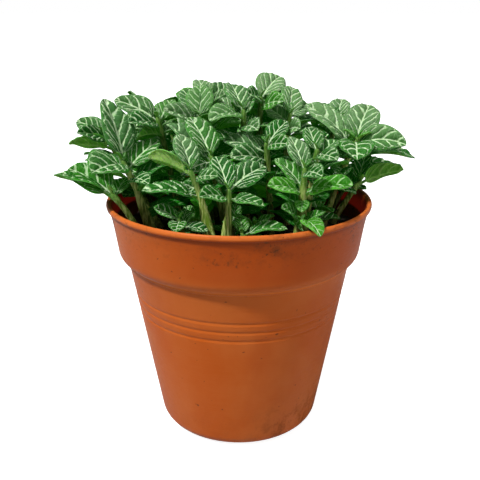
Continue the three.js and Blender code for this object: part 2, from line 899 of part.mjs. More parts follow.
const group = new THREE.Group();
const pot = makePot();
addPart(group, "pot", pot, POT_COLOUR, 0.6);

const obstacles = [new Obstacle(null, pot), new Obstacle(null, makeSoil([]))];
for (const shoot of leading) {
  obstacles.push(new Obstacle(shoot, shoot.stem()));
}
growLeaves(leading, obstacles);
const sown = sowShoots(leading, obstacles);
growLeaves(sown, obstacles);

const shoots = [...leading, ...sown];
addPart(group, "soil", makeSoil(shoots), SOIL_COLOUR, 1);
shoots.forEach((shoot, i) => {
  addPart(group, shoot.name, makeShoot(shoot), LEAF_COLOURS[i % LEAF_COLOURS.length], 0.55);
});

export default group;
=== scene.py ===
"""A small-leaved nerve plant in its plastic nursery pot.

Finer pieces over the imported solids: the turned pot, the soil with its crumbs, and each leafy stem
with its veined leaves, young leaves and hairs. Sizes are in millimetres unless a name says otherwise,
and each mesh is brought to metres as it is made.
"""

import logging
import math
from dataclasses import dataclass, field, replace
from enum import Enum
from itertools import product
from math import radians
from typing import Iterable, Sequence

import bpy
import numpy as np
from mathutils import Matrix, Vector, kdtree, noise


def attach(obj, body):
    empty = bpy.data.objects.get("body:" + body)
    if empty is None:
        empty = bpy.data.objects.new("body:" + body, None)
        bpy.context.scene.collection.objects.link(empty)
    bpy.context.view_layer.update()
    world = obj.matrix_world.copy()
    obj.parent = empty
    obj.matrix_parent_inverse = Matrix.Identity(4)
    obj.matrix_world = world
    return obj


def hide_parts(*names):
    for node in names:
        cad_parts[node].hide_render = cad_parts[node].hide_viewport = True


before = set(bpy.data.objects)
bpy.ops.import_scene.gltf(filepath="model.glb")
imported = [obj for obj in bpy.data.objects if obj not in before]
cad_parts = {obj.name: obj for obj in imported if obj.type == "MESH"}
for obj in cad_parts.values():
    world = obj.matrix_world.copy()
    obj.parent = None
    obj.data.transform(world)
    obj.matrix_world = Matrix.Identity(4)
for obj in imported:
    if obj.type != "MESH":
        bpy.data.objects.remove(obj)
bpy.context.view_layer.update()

MM = 0.001
TURN = 2 * math.pi
LOG = logging.getLogger("nerve_plant")

Point = tuple[float, float]
Span = tuple[float, float]
Place = tuple[float, float, float]
Colour = tuple[float, float, float]
BLACK: Colour = (0.0, 0.0, 0.0)
WHITE: Colour = (1.0, 1.0, 1.0)


# Small helpers

def hashed(a: int, b: int, c: int) -> float:
    """A repeatable share from 0 to 1 for three whole numbers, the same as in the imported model.

    Args:
        a: the first number, such as the place in the sowing order.
        b: the second number.
        c: the third number.

    Returns:
        A number from 0 to 1.
    """
    mask = 0xFFFFFFFF
    h = (a * 374761393 + b * 668265263 + c * 974634777 + 1013904223) & mask
    h = ((h ^ (h >> 13)) * 1274126177) & mask
    h = ((h ^ (h >> 16)) * 2246822519) & mask
    return ((h ^ (h >> 15)) & mask) / 2 ** 32


def spread(a: int, b: int, c: int) -> float:
    """A repeatable number from -1 to 1 for three whole numbers."""
    return 2 * hashed(a, b, c) - 1


def smooth(value: np.ndarray, low: float, high: float) -> np.ndarray:
    """A smooth change from 0 to 1 as value goes from low to high."""
    share = np.clip((value - low) / (high - low), 0, 1)
    return share * share * (3 - 2 * share)


def unit(vector: np.ndarray) -> np.ndarray:
    """A vector brought to length 1."""
    return vector / np.linalg.norm(vector)


def axes_round(along: np.ndarray) -> tuple[np.ndarray, np.ndarray]:
    """Two directions at right angles to a stem, the first as far to the right as it can be."""
    side = unit(np.array((1.0, 0, 0)) - along * along[0])
    return side, np.cross(along, side)


def start_fresh_selection() -> None:
    """Leaves edit mode and deselects everything."""
    if bpy.context.object and bpy.context.object.mode != "OBJECT":
        bpy.ops.object.mode_set(mode="OBJECT")
    bpy.ops.object.select_all(action="DESELECT")


def make_active(piece: bpy.types.Object) -> None:
    """Selects one object and makes it the active one."""
    start_fresh_selection()
    piece.select_set(True)
    bpy.context.view_layer.objects.active = piece


def put_in_scene(name: str, data: bpy.types.ID) -> bpy.types.Object:
    """Makes an object of a mesh, light or camera at the origin."""
    made = bpy.data.objects.new(name, data)
    bpy.context.scene.collection.objects.link(made)
    return made


def hand_over(piece: bpy.types.Object, node_names: Sequence[str]) -> None:
    """Ties a finished piece to the frame.

    Args:
        piece: the finished object, at the origin.
        node_names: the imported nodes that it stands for, if any.
    """
    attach(piece, "root")
    if node_names:
        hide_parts(*node_names)
    LOG.info("%s: %d faces", piece.name, len(piece.data.polygons))


# Node graphs

class Signal:
    """A value that flows through a node tree, with plain arithmetic on it."""

    def __init__(self, graph: "Graph", socket: bpy.types.NodeSocket) -> None:
        self.graph = graph
        self.socket = socket

    def __add__(self, other: object) -> "Signal":
        """This and another value together."""
        return self.graph.maths("ADD", self, other)

    def __sub__(self, other: object) -> "Signal":
        """This less another value."""
        return self.graph.maths("SUBTRACT", self, other)

    def __rsub__(self, other: object) -> "Signal":
        """Another value less this."""
        return self.graph.maths("SUBTRACT", other, self)

    def __mul__(self, other: object) -> "Signal":
        """This times another value."""
        return self.graph.maths("MULTIPLY", self, other)

    def __truediv__(self, other: object) -> "Signal":
        """This divided by another value."""
        return self.graph.maths("DIVIDE", self, other)

    def __abs__(self) -> "Signal":
        """This without its sign."""
        return self.graph.maths("ABSOLUTE", self)


class Graph:
    """Writes a node tree in few words."""

    def __init__(self, tree: bpy.types.NodeTree) -> None:
        self.tree = tree

    def feed(self, node: bpy.types.Node, inputs: dict[str | int, object]) -> None:
        """Links signals to inputs of a node, or sets constants on them.

        Args:
            node: the node.
            inputs: a signal, number, colour or vector for each input's name or place.
        """
        for label, source in inputs.items():
            socket = node.inputs[label]
            if isinstance(source, Signal):
                self.tree.links.new(source.socket, socket)
            elif isinstance(source, (int, float)):
                socket.default_value = float(source)
            else:
                is_colour = len(socket.default_value) == len(source) + 1
                socket.default_value = (*source, 1.0) if is_colour else source

    def node(self, kind: str, inputs: dict[str | int, object], **settings: object) -> bpy.types.Node:
        """Adds a node.

        Args:
            kind: the node's type name.
            inputs: what its inputs get.
            settings: its properties.

        Returns:
            The new node.
        """
        made = self.tree.nodes.new(kind)
        for name, value in settings.items():
            setattr(made, name, value)
        self.feed(made, inputs)
        return made

    def result(self, kind: str, inputs: dict[str | int, object], output: str | int = 0,
               **settings: object) -> Signal:
        """One output of a new node.

        Args:
            kind: the node's type name.
            inputs: what its inputs get.
            output: the output's name or place.
            settings: the node's properties.

        Returns:
            The output's signal.
        """
        return Signal(self, self.node(kind, inputs, **settings).outputs[output])

    def maths(self, operation: str, *inputs: object) -> Signal:
        """A Math node's result for up to three inputs."""
        return self.result("ShaderNodeMath", dict(enumerate(inputs)), operation=operation)

    def highest(self, first: Signal, *others: Signal) -> Signal:
        """The highest of several values."""
        for other in others:
            first = self.maths("MAXIMUM", first, other)
        return first

    def fade(self, value: Signal, low: object, high: object, first: float = 0.0,
             last: float = 1.0) -> Signal:
        """A smooth change from first to last as value goes from low to high."""
        inputs = dict(enumerate((value, low, high, first, last)))
        return self.result("ShaderNodeMapRange", inputs, interpolation_type="SMOOTHSTEP")

    def fade_mm(self, value: Signal, span: Span, first: float = 0.0, last: float = 1.0) -> Signal:
        """The same for a value in metres and a span in millimetres."""
        return self.fade(value, span[0] * MM, span[1] * MM, first, last)

    def mix(self, share: object, first: object, second: object) -> Signal:
        """A colour between two colours."""
        return self.result("ShaderNodeMix", {0: share, 6: first, 7: second}, 2, data_type="RGBA")

    def noise(self, place: Signal, scale: float, detail: float = 3.0, roughness: float = 0.5) -> Signal:
        """Noise from 0 to 1 at a place."""
        inputs = {"Vector": place, "Scale": scale, "Detail": detail, "Roughness": roughness}
        return self.result("ShaderNodeTexNoise", inputs)

    def combine(self, x: object, y: object, z: object = 0.0) -> Signal:
        """A vector of three values."""
        return self.result("ShaderNodeCombineXYZ", {0: x, 1: y, 2: z})

    def split(self, vector: Signal) -> list[Signal]:
        """The three values of a vector."""
        return [Signal(self, socket) for socket in self.node("ShaderNodeSeparateXYZ", {0: vector}).outputs]

    def stretched(self, place: Signal, scale: Place) -> Signal:
        """A place scaled by a share for each axis."""
        return self.result("ShaderNodeVectorMath", {0: place, 1: scale}, operation="MULTIPLY")

    def attribute(self, name: str) -> Signal:
        """A number stored on the mesh."""
        return self.result("ShaderNodeAttribute", {}, "Fac", attribute_name=name)

    def place(self) -> Signal:
        """The object coordinates, in metres."""
        return self.result("ShaderNodeTexCoord", {}, "Object")

    def seen_by_camera(self) -> Signal:
        """1 for what the camera sees straight, and 0 for what only lights the rest."""
        return self.result("ShaderNodeLightPath", {}, "Is Camera Ray")


def new_material(name: str) -> tuple[bpy.types.Material, Graph, bpy.types.Node]:
    """Starts a material.

    Args:
        name: the material's name.

    Returns:
        The material, its graph and its Principled shader.
    """
    material = bpy.data.materials.new(name)
    material.use_nodes = True
    graph = Graph(material.node_tree)
    shader = next(node for node in graph.tree.nodes if node.type == "BSDF_PRINCIPLED")
    return material, graph, shader


def add_bump(graph: Graph, shader: bpy.types.Node, height: Signal, depth_mm: float) -> None:
    """Gives a shader relief.

    Args:
        graph: the material's graph.
        shader: its Principled shader.
        height: the height, from 0 to 1.
        depth_mm: the depth of a height of 1.
    """
    inputs = {"Height": height, "Distance": depth_mm * MM, "Strength": 1.0}
    graph.feed(shader, {"Normal": graph.result("ShaderNodeBump", inputs)})


# Finishes

@dataclass(frozen=True)
class VeinPattern:
    """The nerves of one leaf, drawn from its own coordinates.

    Side veins leave the midrib in turns, arch forwards, fork on their way out and close in loops.
    Shares of width run from the midrib to the margin.

    Attributes:
        turns: turns of side veins along a whole leaf.
        rise: how far a side vein runs forwards at first.
        curl: how much more it does near the margin.
        end: share of the leaf's length where the veins no longer run forwards.
        stagger: how far the veins of one half lead those of the other, in turns.
        spacing: distance between turns as a share of the leaf's length, times the turns.
        full_size: length of a leaf whose veins have their full width.
        wobble: scale of a vein's small wobble in each millimetre, and its strength.
        sway: the same for its long sway.
        fork_start: least share of width where a vein forks, and how much further it may be.
        fork_rate: how fast the two arms part.
        fork_thinness: how much thinner the second arm is.
        rib: width of the midrib at its foot, and how much it loses to the tip.
        vein: width of a side vein at the midrib, and how much it loses to the margin.
        loop: share of width where the loops close, and how far they swing.
        loop_line: where the loops' line starts and ends to fade.
        net_scale: cells of the fine net in each millimetre.
        net_line: where the net's lines start and end to fade.
        margin_line: where the plain margin starts and ends to fade.
    """

    turns: float = 3.5
    rise: float = 0.54
    curl: float = 0.36
    end: float = 1.1
    stagger: float = 0.12
    spacing: float = 0.54
    full_size: float = 22.0
    wobble: Span = (0.45, 0.12)
    sway: Span = (0.17, 0.16)
    fork_start: Span = (0.2, 0.65)
    fork_rate: float = 0.7
    fork_thinness: float = 1.4
    rib: Span = (0.5, -0.26)
    vein: Span = (0.52, -0.24)
    loop: Span = (0.82, -0.07)
    loop_line: Span = (0.08, 0.26)
    net_scale: float = 0.32
    net_line: Span = (0.01, 0.036)
    margin_line: Span = (0.1, 0.4)

    def build(self) -> bpy.types.NodeTree:
        """Makes the shader node group.

        Along runs from 0 at the blade's base to 1 at its tip, and Across from -1 to 1 between its
        margins. Half is the half width there and Long the leaf's length, both in millimetres.

        Returns:
            A group that gives the midrib, the side veins, the fine net, the margin and the puckering.
        """
        tree = bpy.data.node_groups.new("leaf_veins", "ShaderNodeTree")
        for label in ("Along", "Across", "Half", "Long", "Seed"):
            tree.interface.new_socket(label, in_out="INPUT", socket_type="NodeSocketFloat")
        for label in ("Rib", "Veins", "Net", "Margin", "Pucker"):
            tree.interface.new_socket(label, in_out="OUTPUT", socket_type="NodeSocketFloat")
        graph = Graph(tree)
        given = graph.node("NodeGroupInput", {})
        along, across, half, long, seed = (Signal(graph, socket) for socket in given.outputs[:5])

        out = abs(across)
        side = graph.maths("SIGN", across)
        place = graph.combine(along * long + seed * 91.0, across * half, seed)
        turn = self.turn(graph, along, out, place) + (side * self.stagger + seed)
        off, swing = self.off_vein(graph, turn, out, side, seed)
        brink = swing * self.loop[1] + self.loop[0]
        inside = graph.fade(out - brink, 0.0, 0.05, 1.0, 0.0)

        size = long / self.full_size
        rib = size * (along * self.rib[1] + self.rib[0])
        middle = graph.fade(abs(across * half), rib * 0.7, rib * 1.1, 1.0, 0.0)
        width = size * (out * self.vein[1] + self.vein[0])
        off_mm = off * long * (self.spacing / self.turns)
        branch = graph.fade(off_mm, width * 0.6, width * 1.1, 1.0, 0.0) * inside
        branch = branch * graph.fade(graph.noise(place, 0.28, 2.0), 0.3, 0.6, 0.6, 1.0)
        loop = graph.fade(abs(out - brink) * half, *self.loop_line, 0.85, 0.0)
        loop = loop * graph.fade(graph.noise(place, 0.5, 1.0), 0.36, 0.52)

        cells = graph.result("ShaderNodeTexVoronoi", {"Vector": place, "Scale": self.net_scale},
                             feature="DISTANCE_TO_EDGE")
        net = graph.fade(cells, *self.net_line, 1.0, 0.0)
        net = net * graph.fade(graph.noise(place, 0.3, 1.0), 0.4, 0.6)
        net = net * graph.fade(out, 0.84, 0.92, 1.0, 0.0) * graph.fade(out, 0.1, 0.22)
        margin = graph.fade((1.0 - out) * half, *self.margin_line, 1.0, 0.0)
        pucker = graph.fade(cells, 0.0, 0.3) * 0.35 + graph.fade(off, 0.0, 0.26) * inside * 0.65
        veins = graph.highest(branch, loop)
        graph.node("NodeGroupOutput", dict(enumerate((middle, veins, net, margin, pucker))))
        return tree

    def turn(self, graph: Graph, along: Signal, out: Signal, place: Signal) -> Signal:
        """How many turns of side veins lie between the leaf's base and a place on it.

        Args:
            graph: the group's graph.
            along: share of the length.
            out: share of the width.
            place: the place for noise.

        Returns:
            The turns, before the leaf's own shift.
        """
        rise = (out * self.curl + self.rise) * out * (self.end - along)
        wobble = graph.noise(place, self.wobble[0], 3.0) - 0.5
        sway = graph.noise(place, self.sway[0], 1.0) - 0.5
        level = along - rise + wobble * self.wobble[1] + sway * self.sway[1]
        return level * self.turns

    def off_vein(self, graph: Graph, turn: Signal, out: Signal, side: Signal,
                 seed: Signal) -> tuple[Signal, Signal]:
        """How far a place is from the nearest vein, in turns.

        Args:
            graph: the group's graph.
            turn: the turns at the place.
            out: share of the width.
            side: 1 on one half of the leaf and -1 on the other.
            seed: the leaf's own number.

        Returns:
            The distance, and a wave that is highest halfway between two veins.
        """
        own = graph.maths("MULTIPLY_ADD", seed, 50.0, side)
        luck = graph.result("ShaderNodeTexWhiteNoise",
                            {"Vector": graph.combine(graph.maths("FLOOR", turn), own)},
                            noise_dimensions="2D")
        start = luck * self.fork_start[1] + self.fork_start[0]
        apart = graph.maths("MAXIMUM", out - start, 0.0)
        way = graph.maths("SIGN", graph.maths("FRACT", luck * 7.3) - 0.5)
        offset = graph.maths("FRACT", turn) - 0.5
        second_arm = abs(offset - apart * (way * self.fork_rate)) * self.fork_thinness
        off = graph.maths("MINIMUM", abs(offset), second_arm)
        return off, graph.maths("COSINE", (turn - 0.5) * TURN)


@dataclass(frozen=True)
class LeafFinish:
    """One face of the leaves. The values given here are those of the upper face.

    Attributes:
        name: the material's name.
        ground: the blade's colour when grown.
        fresh: the blade's colour when young.
        nerve: the colour of the veins.
        nerve_share: how strongly the veins show.
        net_share: how strongly the fine net between them shows.
        relief_mm: depth of the puckering, negative where it is seen from below.
        glow: share of light that goes into the blade and out again.
        painted_sheen_share: how much of the painted sheen a leaf has at most.
        hollow: how strongly the colour between veins shows.
        painted_sheen: painted sheen, the lighter and greyer colour of high leaves whose hairs catch the
            light.
        painted_sheen_z: the heights where the painted sheen starts and is full.
        shadow: what the darker patches tend to.
        between: the colour in the middle between side veins.
        painted_shade: painted shade, the plain deep green that leaves deep inside tend to.
        through: painted glow, light that the blade gives off where no other light falls, in place of light
            coming through it.
        through_young: the same for a young, thin blade.
        through_z: the heights where that light is weakest and full.
        roughness: the blade's roughness.
        shine: specular level.
    """

    name: str = "leaf_upper"
    ground: Colour = (0.01, 0.12, 0.007)
    fresh: Colour = (0.06, 0.29, 0.008)
    nerve: Colour = (0.41, 0.55, 0.32)
    nerve_share: float = 1.0
    net_share: float = 0.22
    relief_mm: float = 0.5
    glow: float = 0.16
    painted_sheen_share: float = 0.75
    hollow: float = 0.62
    painted_sheen: Colour = (0.135, 0.235, 0.1)
    painted_sheen_z: Span = (124, 146)
    shadow: Colour = (0.0, 0.012, 0.0)
    between: Colour = (0.001, 0.03, 0.004)
    painted_shade: Colour = (0.003, 0.13, 0.002)
    through: Colour = (0.0004, 0.012, 0.0003)
    through_young: Colour = (0.007, 0.052, 0.0008)
    through_z: Span = (104, 124)
    roughness: float = 0.5
    shine: float = 0.05

    def build(self, veins: bpy.types.NodeTree) -> bpy.types.Material:
        """Makes the material.

        Args:
            veins: the shared vein group.

        Returns:
            The material.
        """
        material, graph, shader = new_material(self.name)
        place = graph.place()
        z = graph.split(place)[2]
        run, breadth, _ = graph.split(graph.result("ShaderNodeUVMap", {}, uv_map="leaf"))
        along = (run - PETIOLE_SHARE) / (1 - PETIOLE_SHARE)
        seed, youth = graph.attribute("seed"), graph.attribute("youth")
        sources = (along, breadth * 2.0 - 1.0, graph.attribute("half"), graph.attribute("long"), seed)
        pattern = graph.node("ShaderNodeGroup", dict(enumerate(sources)), node_tree=veins)
        rib, nerves, net, margin, pucker = (Signal(graph, socket) for socket in pattern.outputs[:5])

        ground = graph.mix(youth, self.ground, self.fresh)
        darker = graph.mix(0.45, ground, self.shadow)
        ground = graph.mix(graph.fade(graph.noise(place, 160.0), 0.35, 0.7), ground, darker)
        ground = graph.mix(graph.fade(pucker, 0.25, 0.85, 0.0, self.hollow), ground, self.between)
        ground = graph.mix(graph.fade(seed, 0.3, 1.0) * 0.2, ground, self.fresh)
        # painted sheen: some leaves are lighter and greyer the higher they stand
        painted_sheen = graph.maths("FRACT", seed * 7.31) * graph.fade_mm(z, self.painted_sheen_z, 0.04, 1.0)
        ground = graph.mix(painted_sheen * self.painted_sheen_share, ground, self.painted_sheen)

        grown_share = youth * (-0.6 * self.nerve_share) + self.nerve_share
        stalk = graph.fade(along, -0.02, 0.06, 0.75, 0.0)
        shown = graph.highest(nerves * grown_share, net * self.net_share, rib * self.nerve_share, stalk)
        shown = shown * (1.0 - margin)
        colour = graph.mix(shown, ground, self.nerve)
        # plain margin, made a little lighter and greyer by painted sheen
        colour = graph.mix(margin * 0.7, colour, graph.mix(0.14, ground, self.nerve))
        # painted shade: leaves deep inside tend to a plain deep green without pale veins
        colour = graph.mix(graph.attribute("shade"), colour, self.painted_shade)

        # painted glow: the blade gives off faint green light, stronger on young blades and higher up
        painted_glow = graph.mix(youth, self.through, self.through_young)
        painted_glow = graph.mix(graph.fade_mm(z, self.through_z, 0.35, 1.0), BLACK, painted_glow)
        rough = graph.noise(place, 900.0, 2.0) * 0.16 + (self.roughness - 0.08)
        graph.feed(shader, {
            "Base Color": colour,
            "Roughness": shown * 0.12 + rough,
            "Emission Color": painted_glow,
            "Emission Strength": 1.0,
            "Subsurface Weight": self.glow,
            "Subsurface Radius": (0.5, 1.0, 0.25),
            "Subsurface Scale": 0.9 * MM,
            "Specular IOR Level": self.shine,
        })
        grain = graph.noise(place, 2600.0, 2.0)
        add_bump(graph, shader, shown * -0.45 + pucker + grain * 0.12, self.relief_mm)
        return material


@dataclass(frozen=True)
class StemFinish:
    """Olive skin of the stems, pale and dark in streaks along their length.

    Attributes:
        name: the material's name.
        skin: the skin's colour between streaks.
        pale: the colour of the streaks.
        ruddy: the colour of patches, and of the foot above the soil.
        fresh: the colour near the top.
        painted_shade: painted shade, the darker colour that stems deep inside tend to.
        foot_mm: how far above the soil the foot's colour reaches.
    """

    name: str = "stem_skin"
    skin: Colour = (0.095, 0.17, 0.014)
    pale: Colour = (0.36, 0.44, 0.13)
    ruddy: Colour = (0.13, 0.09, 0.03)
    fresh: Colour = (0.05, 0.17, 0.02)
    painted_shade: Colour = (0.01, 0.03, 0.005)
    foot_mm: float = 12.0

    def build(self) -> bpy.types.Material:
        """Makes the material.

        Returns:
            The material.
        """
        material, graph, shader = new_material(self.name)
        place = graph.place()
        streak = graph.noise(graph.stretched(place, (1, 1, 0.12)), 1500.0)
        colour = graph.mix(graph.fade(streak, 0.4, 0.62), self.skin, self.pale)
        patch = graph.noise(place, 130.0, 2.0)
        colour = graph.mix(graph.fade(patch, 0.55, 0.8, 0.0, 0.45), colour, self.ruddy)
        low = graph.fade_mm(graph.split(place)[2], (SOIL_Z, SOIL_Z + self.foot_mm), 0.45, 0.0)
        colour = graph.mix(low, colour, self.ruddy)
        colour = graph.mix(graph.fade(graph.attribute("youth"), 0.6, 1.0, 0.0, 0.75), colour, self.fresh)
        # painted shade: stems deep inside tend to a dark colour
        graph.feed(shader, {
            "Base Color": graph.mix(graph.attribute("shade"), colour, self.painted_shade),
            "Roughness": streak * 0.2 + 0.4,
            "Specular IOR Level": 0.15,
            "Subsurface Weight": 0.2,
            "Subsurface Radius": (0.6, 1.0, 0.3),
            "Subsurface Scale": 1.0 * MM,
        })
        add_bump(graph, shader, streak, 0.12)
        return material


@dataclass(frozen=True)
class HairFinish:
    """Pale hairs of stems and leaf stalks."""

    name: str = "stem_hair"
    pale: Colour = (0.45, 0.55, 0.3)
    green: Colour = (0.25, 0.36, 0.14)

    def build(self) -> bpy.types.Material:
        """Makes the material.

        Returns:
            The material.
        """
        material, graph, shader = new_material(self.name)
        patch = graph.noise(graph.place(), 400.0, 2.0)
        graph.feed(shader, {"Base Color": graph.mix(patch, self.pale, self.green), "Roughness": 0.5})
        return material


@dataclass(frozen=True)
class PotFinish:
    """Matt orange plastic with dust, specks and scuffs, and painted highlights, shade and glow.

    Attributes:
        name: the material's name.
        orange: the plastic's own colour.
        faded: the colour where it is dusty.
        deep: a deeper orange, in random streaks and in the band's painted shade.
        painted_highlight: the colour of the painted highlights on the lip's top and the step's edge.
        groove: the colour of the painted shadow under the lip.
        inner: painted shade, the darker and redder colour of the inner wall.
        glow: painted glow, red light that the inner wall gives off near the lip, in place of light coming
            through the wall.
        soil: the colour of dirt.
        shaded_band_z, shaded_band_x: where the band's painted shade starts and is full, upwards and to the
            right.
        lip_shadow_z: heights where the painted shadow under the lip starts, is full, starts to end and
            ends.
        lip_z: heights where the painted highlight on the lip's top starts and is full.
        edge_z: as for lip_shadow_z, for the painted highlight on the edge of the step.
        painted_glow_z: heights where the painted glow starts and is full.
        foot_z, foot_x: where the foot's dirt starts to end and ends upwards, and is full to the right.
        speck_z: heights where the specks on the band start and are full.
        left_x, right_x: where they start to be many, and to be fewer again, from left to right.
        side_x: how far to the side they are many again.
    """

    name: str = "pot_plastic"
    orange: Colour = (0.36, 0.065, 0.004)
    faded: Colour = (0.39, 0.088, 0.013)
    deep: Colour = (0.285, 0.038, 0.001)
    painted_highlight: Colour = (0.5, 0.12, 0.02)
    groove: Colour = (0.16, 0.025, 0.003)
    inner: Colour = (0.22, 0.008, 0.006)
    glow: Colour = (0.06, 0.003, 0.001)
    soil: Colour = (0.085, 0.026, 0.006)
    shaded_band_z: Span = (83, 90)
    shaded_band_x: Span = (-36, -8)
    lip_shadow_z: tuple[float, float, float, float] = (103.5, 106, 106.2, 107.2)
    lip_z: Span = (106.8, 107.6)
    edge_z: tuple[float, float, float, float] = (81.3, 81.9, 82.3, 83.4)
    painted_glow_z: Span = (94, 105)
    foot_z: Span = (4, 30)
    foot_x: Span = (0, 24)
    speck_z: Span = (90, 102)
    left_x: Span = (-24, -8)
    right_x: Span = (14, 34)
    side_x: Span = (42, 47)

    def build(self) -> bpy.types.Material:
        """Makes the material.

        Returns:
            The material.
        """
        material, graph, shader = new_material(self.name)
        place = graph.place()
        rings = graph.noise(graph.stretched(place, (0.2, 0.2, 6.0)), 300.0, 2.0)
        stain = self.foot_stain(graph, place)
        colour = graph.mix(stain * 0.6, self.plastic(graph, place, rings), self.soil)
        colour = self.dirty(graph, place, colour)
        inside = graph.attribute("inside")
        # painted glow: the inner wall near the lip gives off red light
        painted_glow = inside * graph.fade_mm(graph.split(place)[2], self.painted_glow_z)
        scuff = graph.noise(graph.stretched(place, (1, 1, 3)), 420.0)
        # painted shade: the inner wall darker and redder than the outside
        graph.feed(shader, {
            "Base Color": graph.mix(inside, colour, self.inner),
            "Emission Color": graph.mix(painted_glow, BLACK, self.glow),
            "Emission Strength": 1.0,
            "Roughness": stain * 0.25 + (scuff * 0.22 + 0.34),
            "Specular IOR Level": 0.1,
            "Sheen Weight": 0.03,
            "Sheen Roughness": 0.4,
            "Sheen Tint": (1.0, 0.75, 0.6),
        })
        add_bump(graph, shader, rings * 0.6 + graph.noise(place, 1400.0, 2.0) * 0.4, 0.06)
        return material

    def plastic(self, graph: Graph, place: Signal, rings: Signal) -> Signal:
        """The clean plastic's colour.

        Args:
            graph: the material's graph.
            place: the place on the pot.
            rings: fine rings round it.

        Returns:
            The colour, with the band's painted shade, the painted shadow under the lip and the painted
            highlights.
        """
        x, _, z = graph.split(place)
        cloud = graph.noise(place, 26.0, 4.0, 0.6)
        colour = graph.mix(graph.fade(cloud, 0.35, 0.68), self.orange, self.faded)
        drift = graph.noise(graph.stretched(place, (1, 1, 0.3)), 60.0, 4.0)
        colour = graph.mix(graph.fade(drift, 0.5, 0.8, 0.0, 0.35), colour, self.deep)
        colour = graph.mix(graph.fade(rings, 0.45, 0.7, 0.0, 0.16), colour, self.faded)
        # painted shade: the band darker and deeper orange, less so towards the lit left side
        band = graph.fade_mm(z, self.shaded_band_z, 0.0, 0.6) * graph.fade_mm(x, self.shaded_band_x, 0.1, 1.0)
        colour = graph.mix(band, colour, self.deep)
        # painted shadow: a dark line under the lip's bead
        groove = graph.fade_mm(z, self.lip_shadow_z[:2]) * graph.fade_mm(z, self.lip_shadow_z[2:], 1.0, 0.0)
        colour = graph.mix(groove * 0.7, colour, self.groove)
        # painted highlight on the lip's top
        colour = graph.mix(graph.fade_mm(z, self.lip_z, 0.0, 0.8), colour, self.painted_highlight)
        # painted highlight on the step's edge
        edge = graph.fade_mm(z, self.edge_z[:2]) * graph.fade_mm(z, self.edge_z[2:], 1.0, 0.0)
        return graph.mix(edge * 0.55, colour, self.painted_highlight)

    def foot_stain(self, graph: Graph, place: Signal) -> Signal:
        """Where splashed soil has dried on the foot.

        Args:
            graph: the material's graph.
            place: the place on the pot.

        Returns:
            How strongly it shows.
        """
        x, _, z = graph.split(place)
        smear = graph.noise(graph.stretched(place, (1, 1, 0.6)), 190.0, 6.0, 0.72)
        near = graph.fade_mm(z, self.foot_z, 1.0, 0.0) * graph.fade_mm(x, self.foot_x, 0.15, 1.0)
        grit = graph.fade(graph.noise(place, 700.0), 0.3, 0.6, 0.5, 1.0)
        return near * graph.fade(smear, 0.44, 0.6) * grit

    def dirty(self, graph: Graph, place: Signal, colour: Signal) -> Signal:
        """Adds smudges and specks, most of them in clusters below the lip.

        Args:
            graph: the material's graph.
            place: the place on the pot.
            colour: the colour so far.

        Returns:
            The colour with dirt.
        """
        x, _, z = graph.split(place)
        middle = graph.fade_mm(x, self.left_x, 0.25, 1.0) * graph.fade_mm(x, self.right_x, 1.0, 0.35)
        spots = graph.highest(middle, graph.fade_mm(abs(x), self.side_x))
        cluster = graph.fade_mm(z, self.speck_z) * spots
        cluster = cluster * graph.fade(graph.noise(place, 70.0, 2.0), 0.34, 0.52)
        smudge = graph.fade(graph.noise(place, 210.0, 5.0, 0.7), 0.46, 0.66, 0.0, 0.5)
        colour = graph.mix(cluster * smudge, colour, self.soil)
        many = graph.fade(graph.noise(place, 560.0, 3.0, 0.6), 0.58, 0.66, 0.0, 0.85) * cluster
        few = graph.fade(graph.noise(place, 480.0, 1.0), 0.75, 0.78) * 0.8
        return graph.mix(graph.highest(many, few), colour, self.soil)


@dataclass(frozen=True)
class SoilFinish:
    """Dark damp peat with paler fibres."""

    name: str = "peat"
    dark: Colour = (0.012, 0.008, 0.005)
    brown: Colour = (0.06, 0.034, 0.018)
    fibre: Colour = (0.12, 0.075, 0.045)

    def build(self) -> bpy.types.Material:
        """Makes the material.

        Returns:
            The material.
        """
        material, graph, shader = new_material(self.name)
        place = graph.place()
        clump = graph.noise(place, 320.0, 5.0, 0.6)
        fibre = graph.noise(graph.stretched(place, (1, 0.3, 1)), 900.0)
        colour = graph.mix(graph.fade(clump, 0.4, 0.75), self.dark, self.brown)
        colour = graph.mix(graph.fade(fibre, 0.62, 0.8, 0.0, 0.5), colour, self.fibre)
        graph.feed(shader, {"Base Color": colour, "Roughness": clump * 0.3 + 0.65})
        add_bump(graph, shader, fibre * 0.4 + clump, 0.7)
        return material


@dataclass(frozen=True)
class FloorFinish:
    """Pale paper, which the camera sees white."""

    name: str = "paper"
    light: Colour = (0.44, 0.44, 0.44)
    dark: Colour = (0.42, 0.42, 0.42)
    glare: float = 0.9

    def build(self) -> bpy.types.Material:
        """Makes the material.

        Returns:
            The material.
        """
        material, graph, shader = new_material(self.name)
        graph.feed(shader, {
            "Base Color": graph.mix(graph.noise(graph.place(), 40.0), self.light, self.dark),
            "Emission Color": WHITE,
            "Emission Strength": graph.seen_by_camera() * self.glare,
            "Roughness": 0.9,
        })
        return material


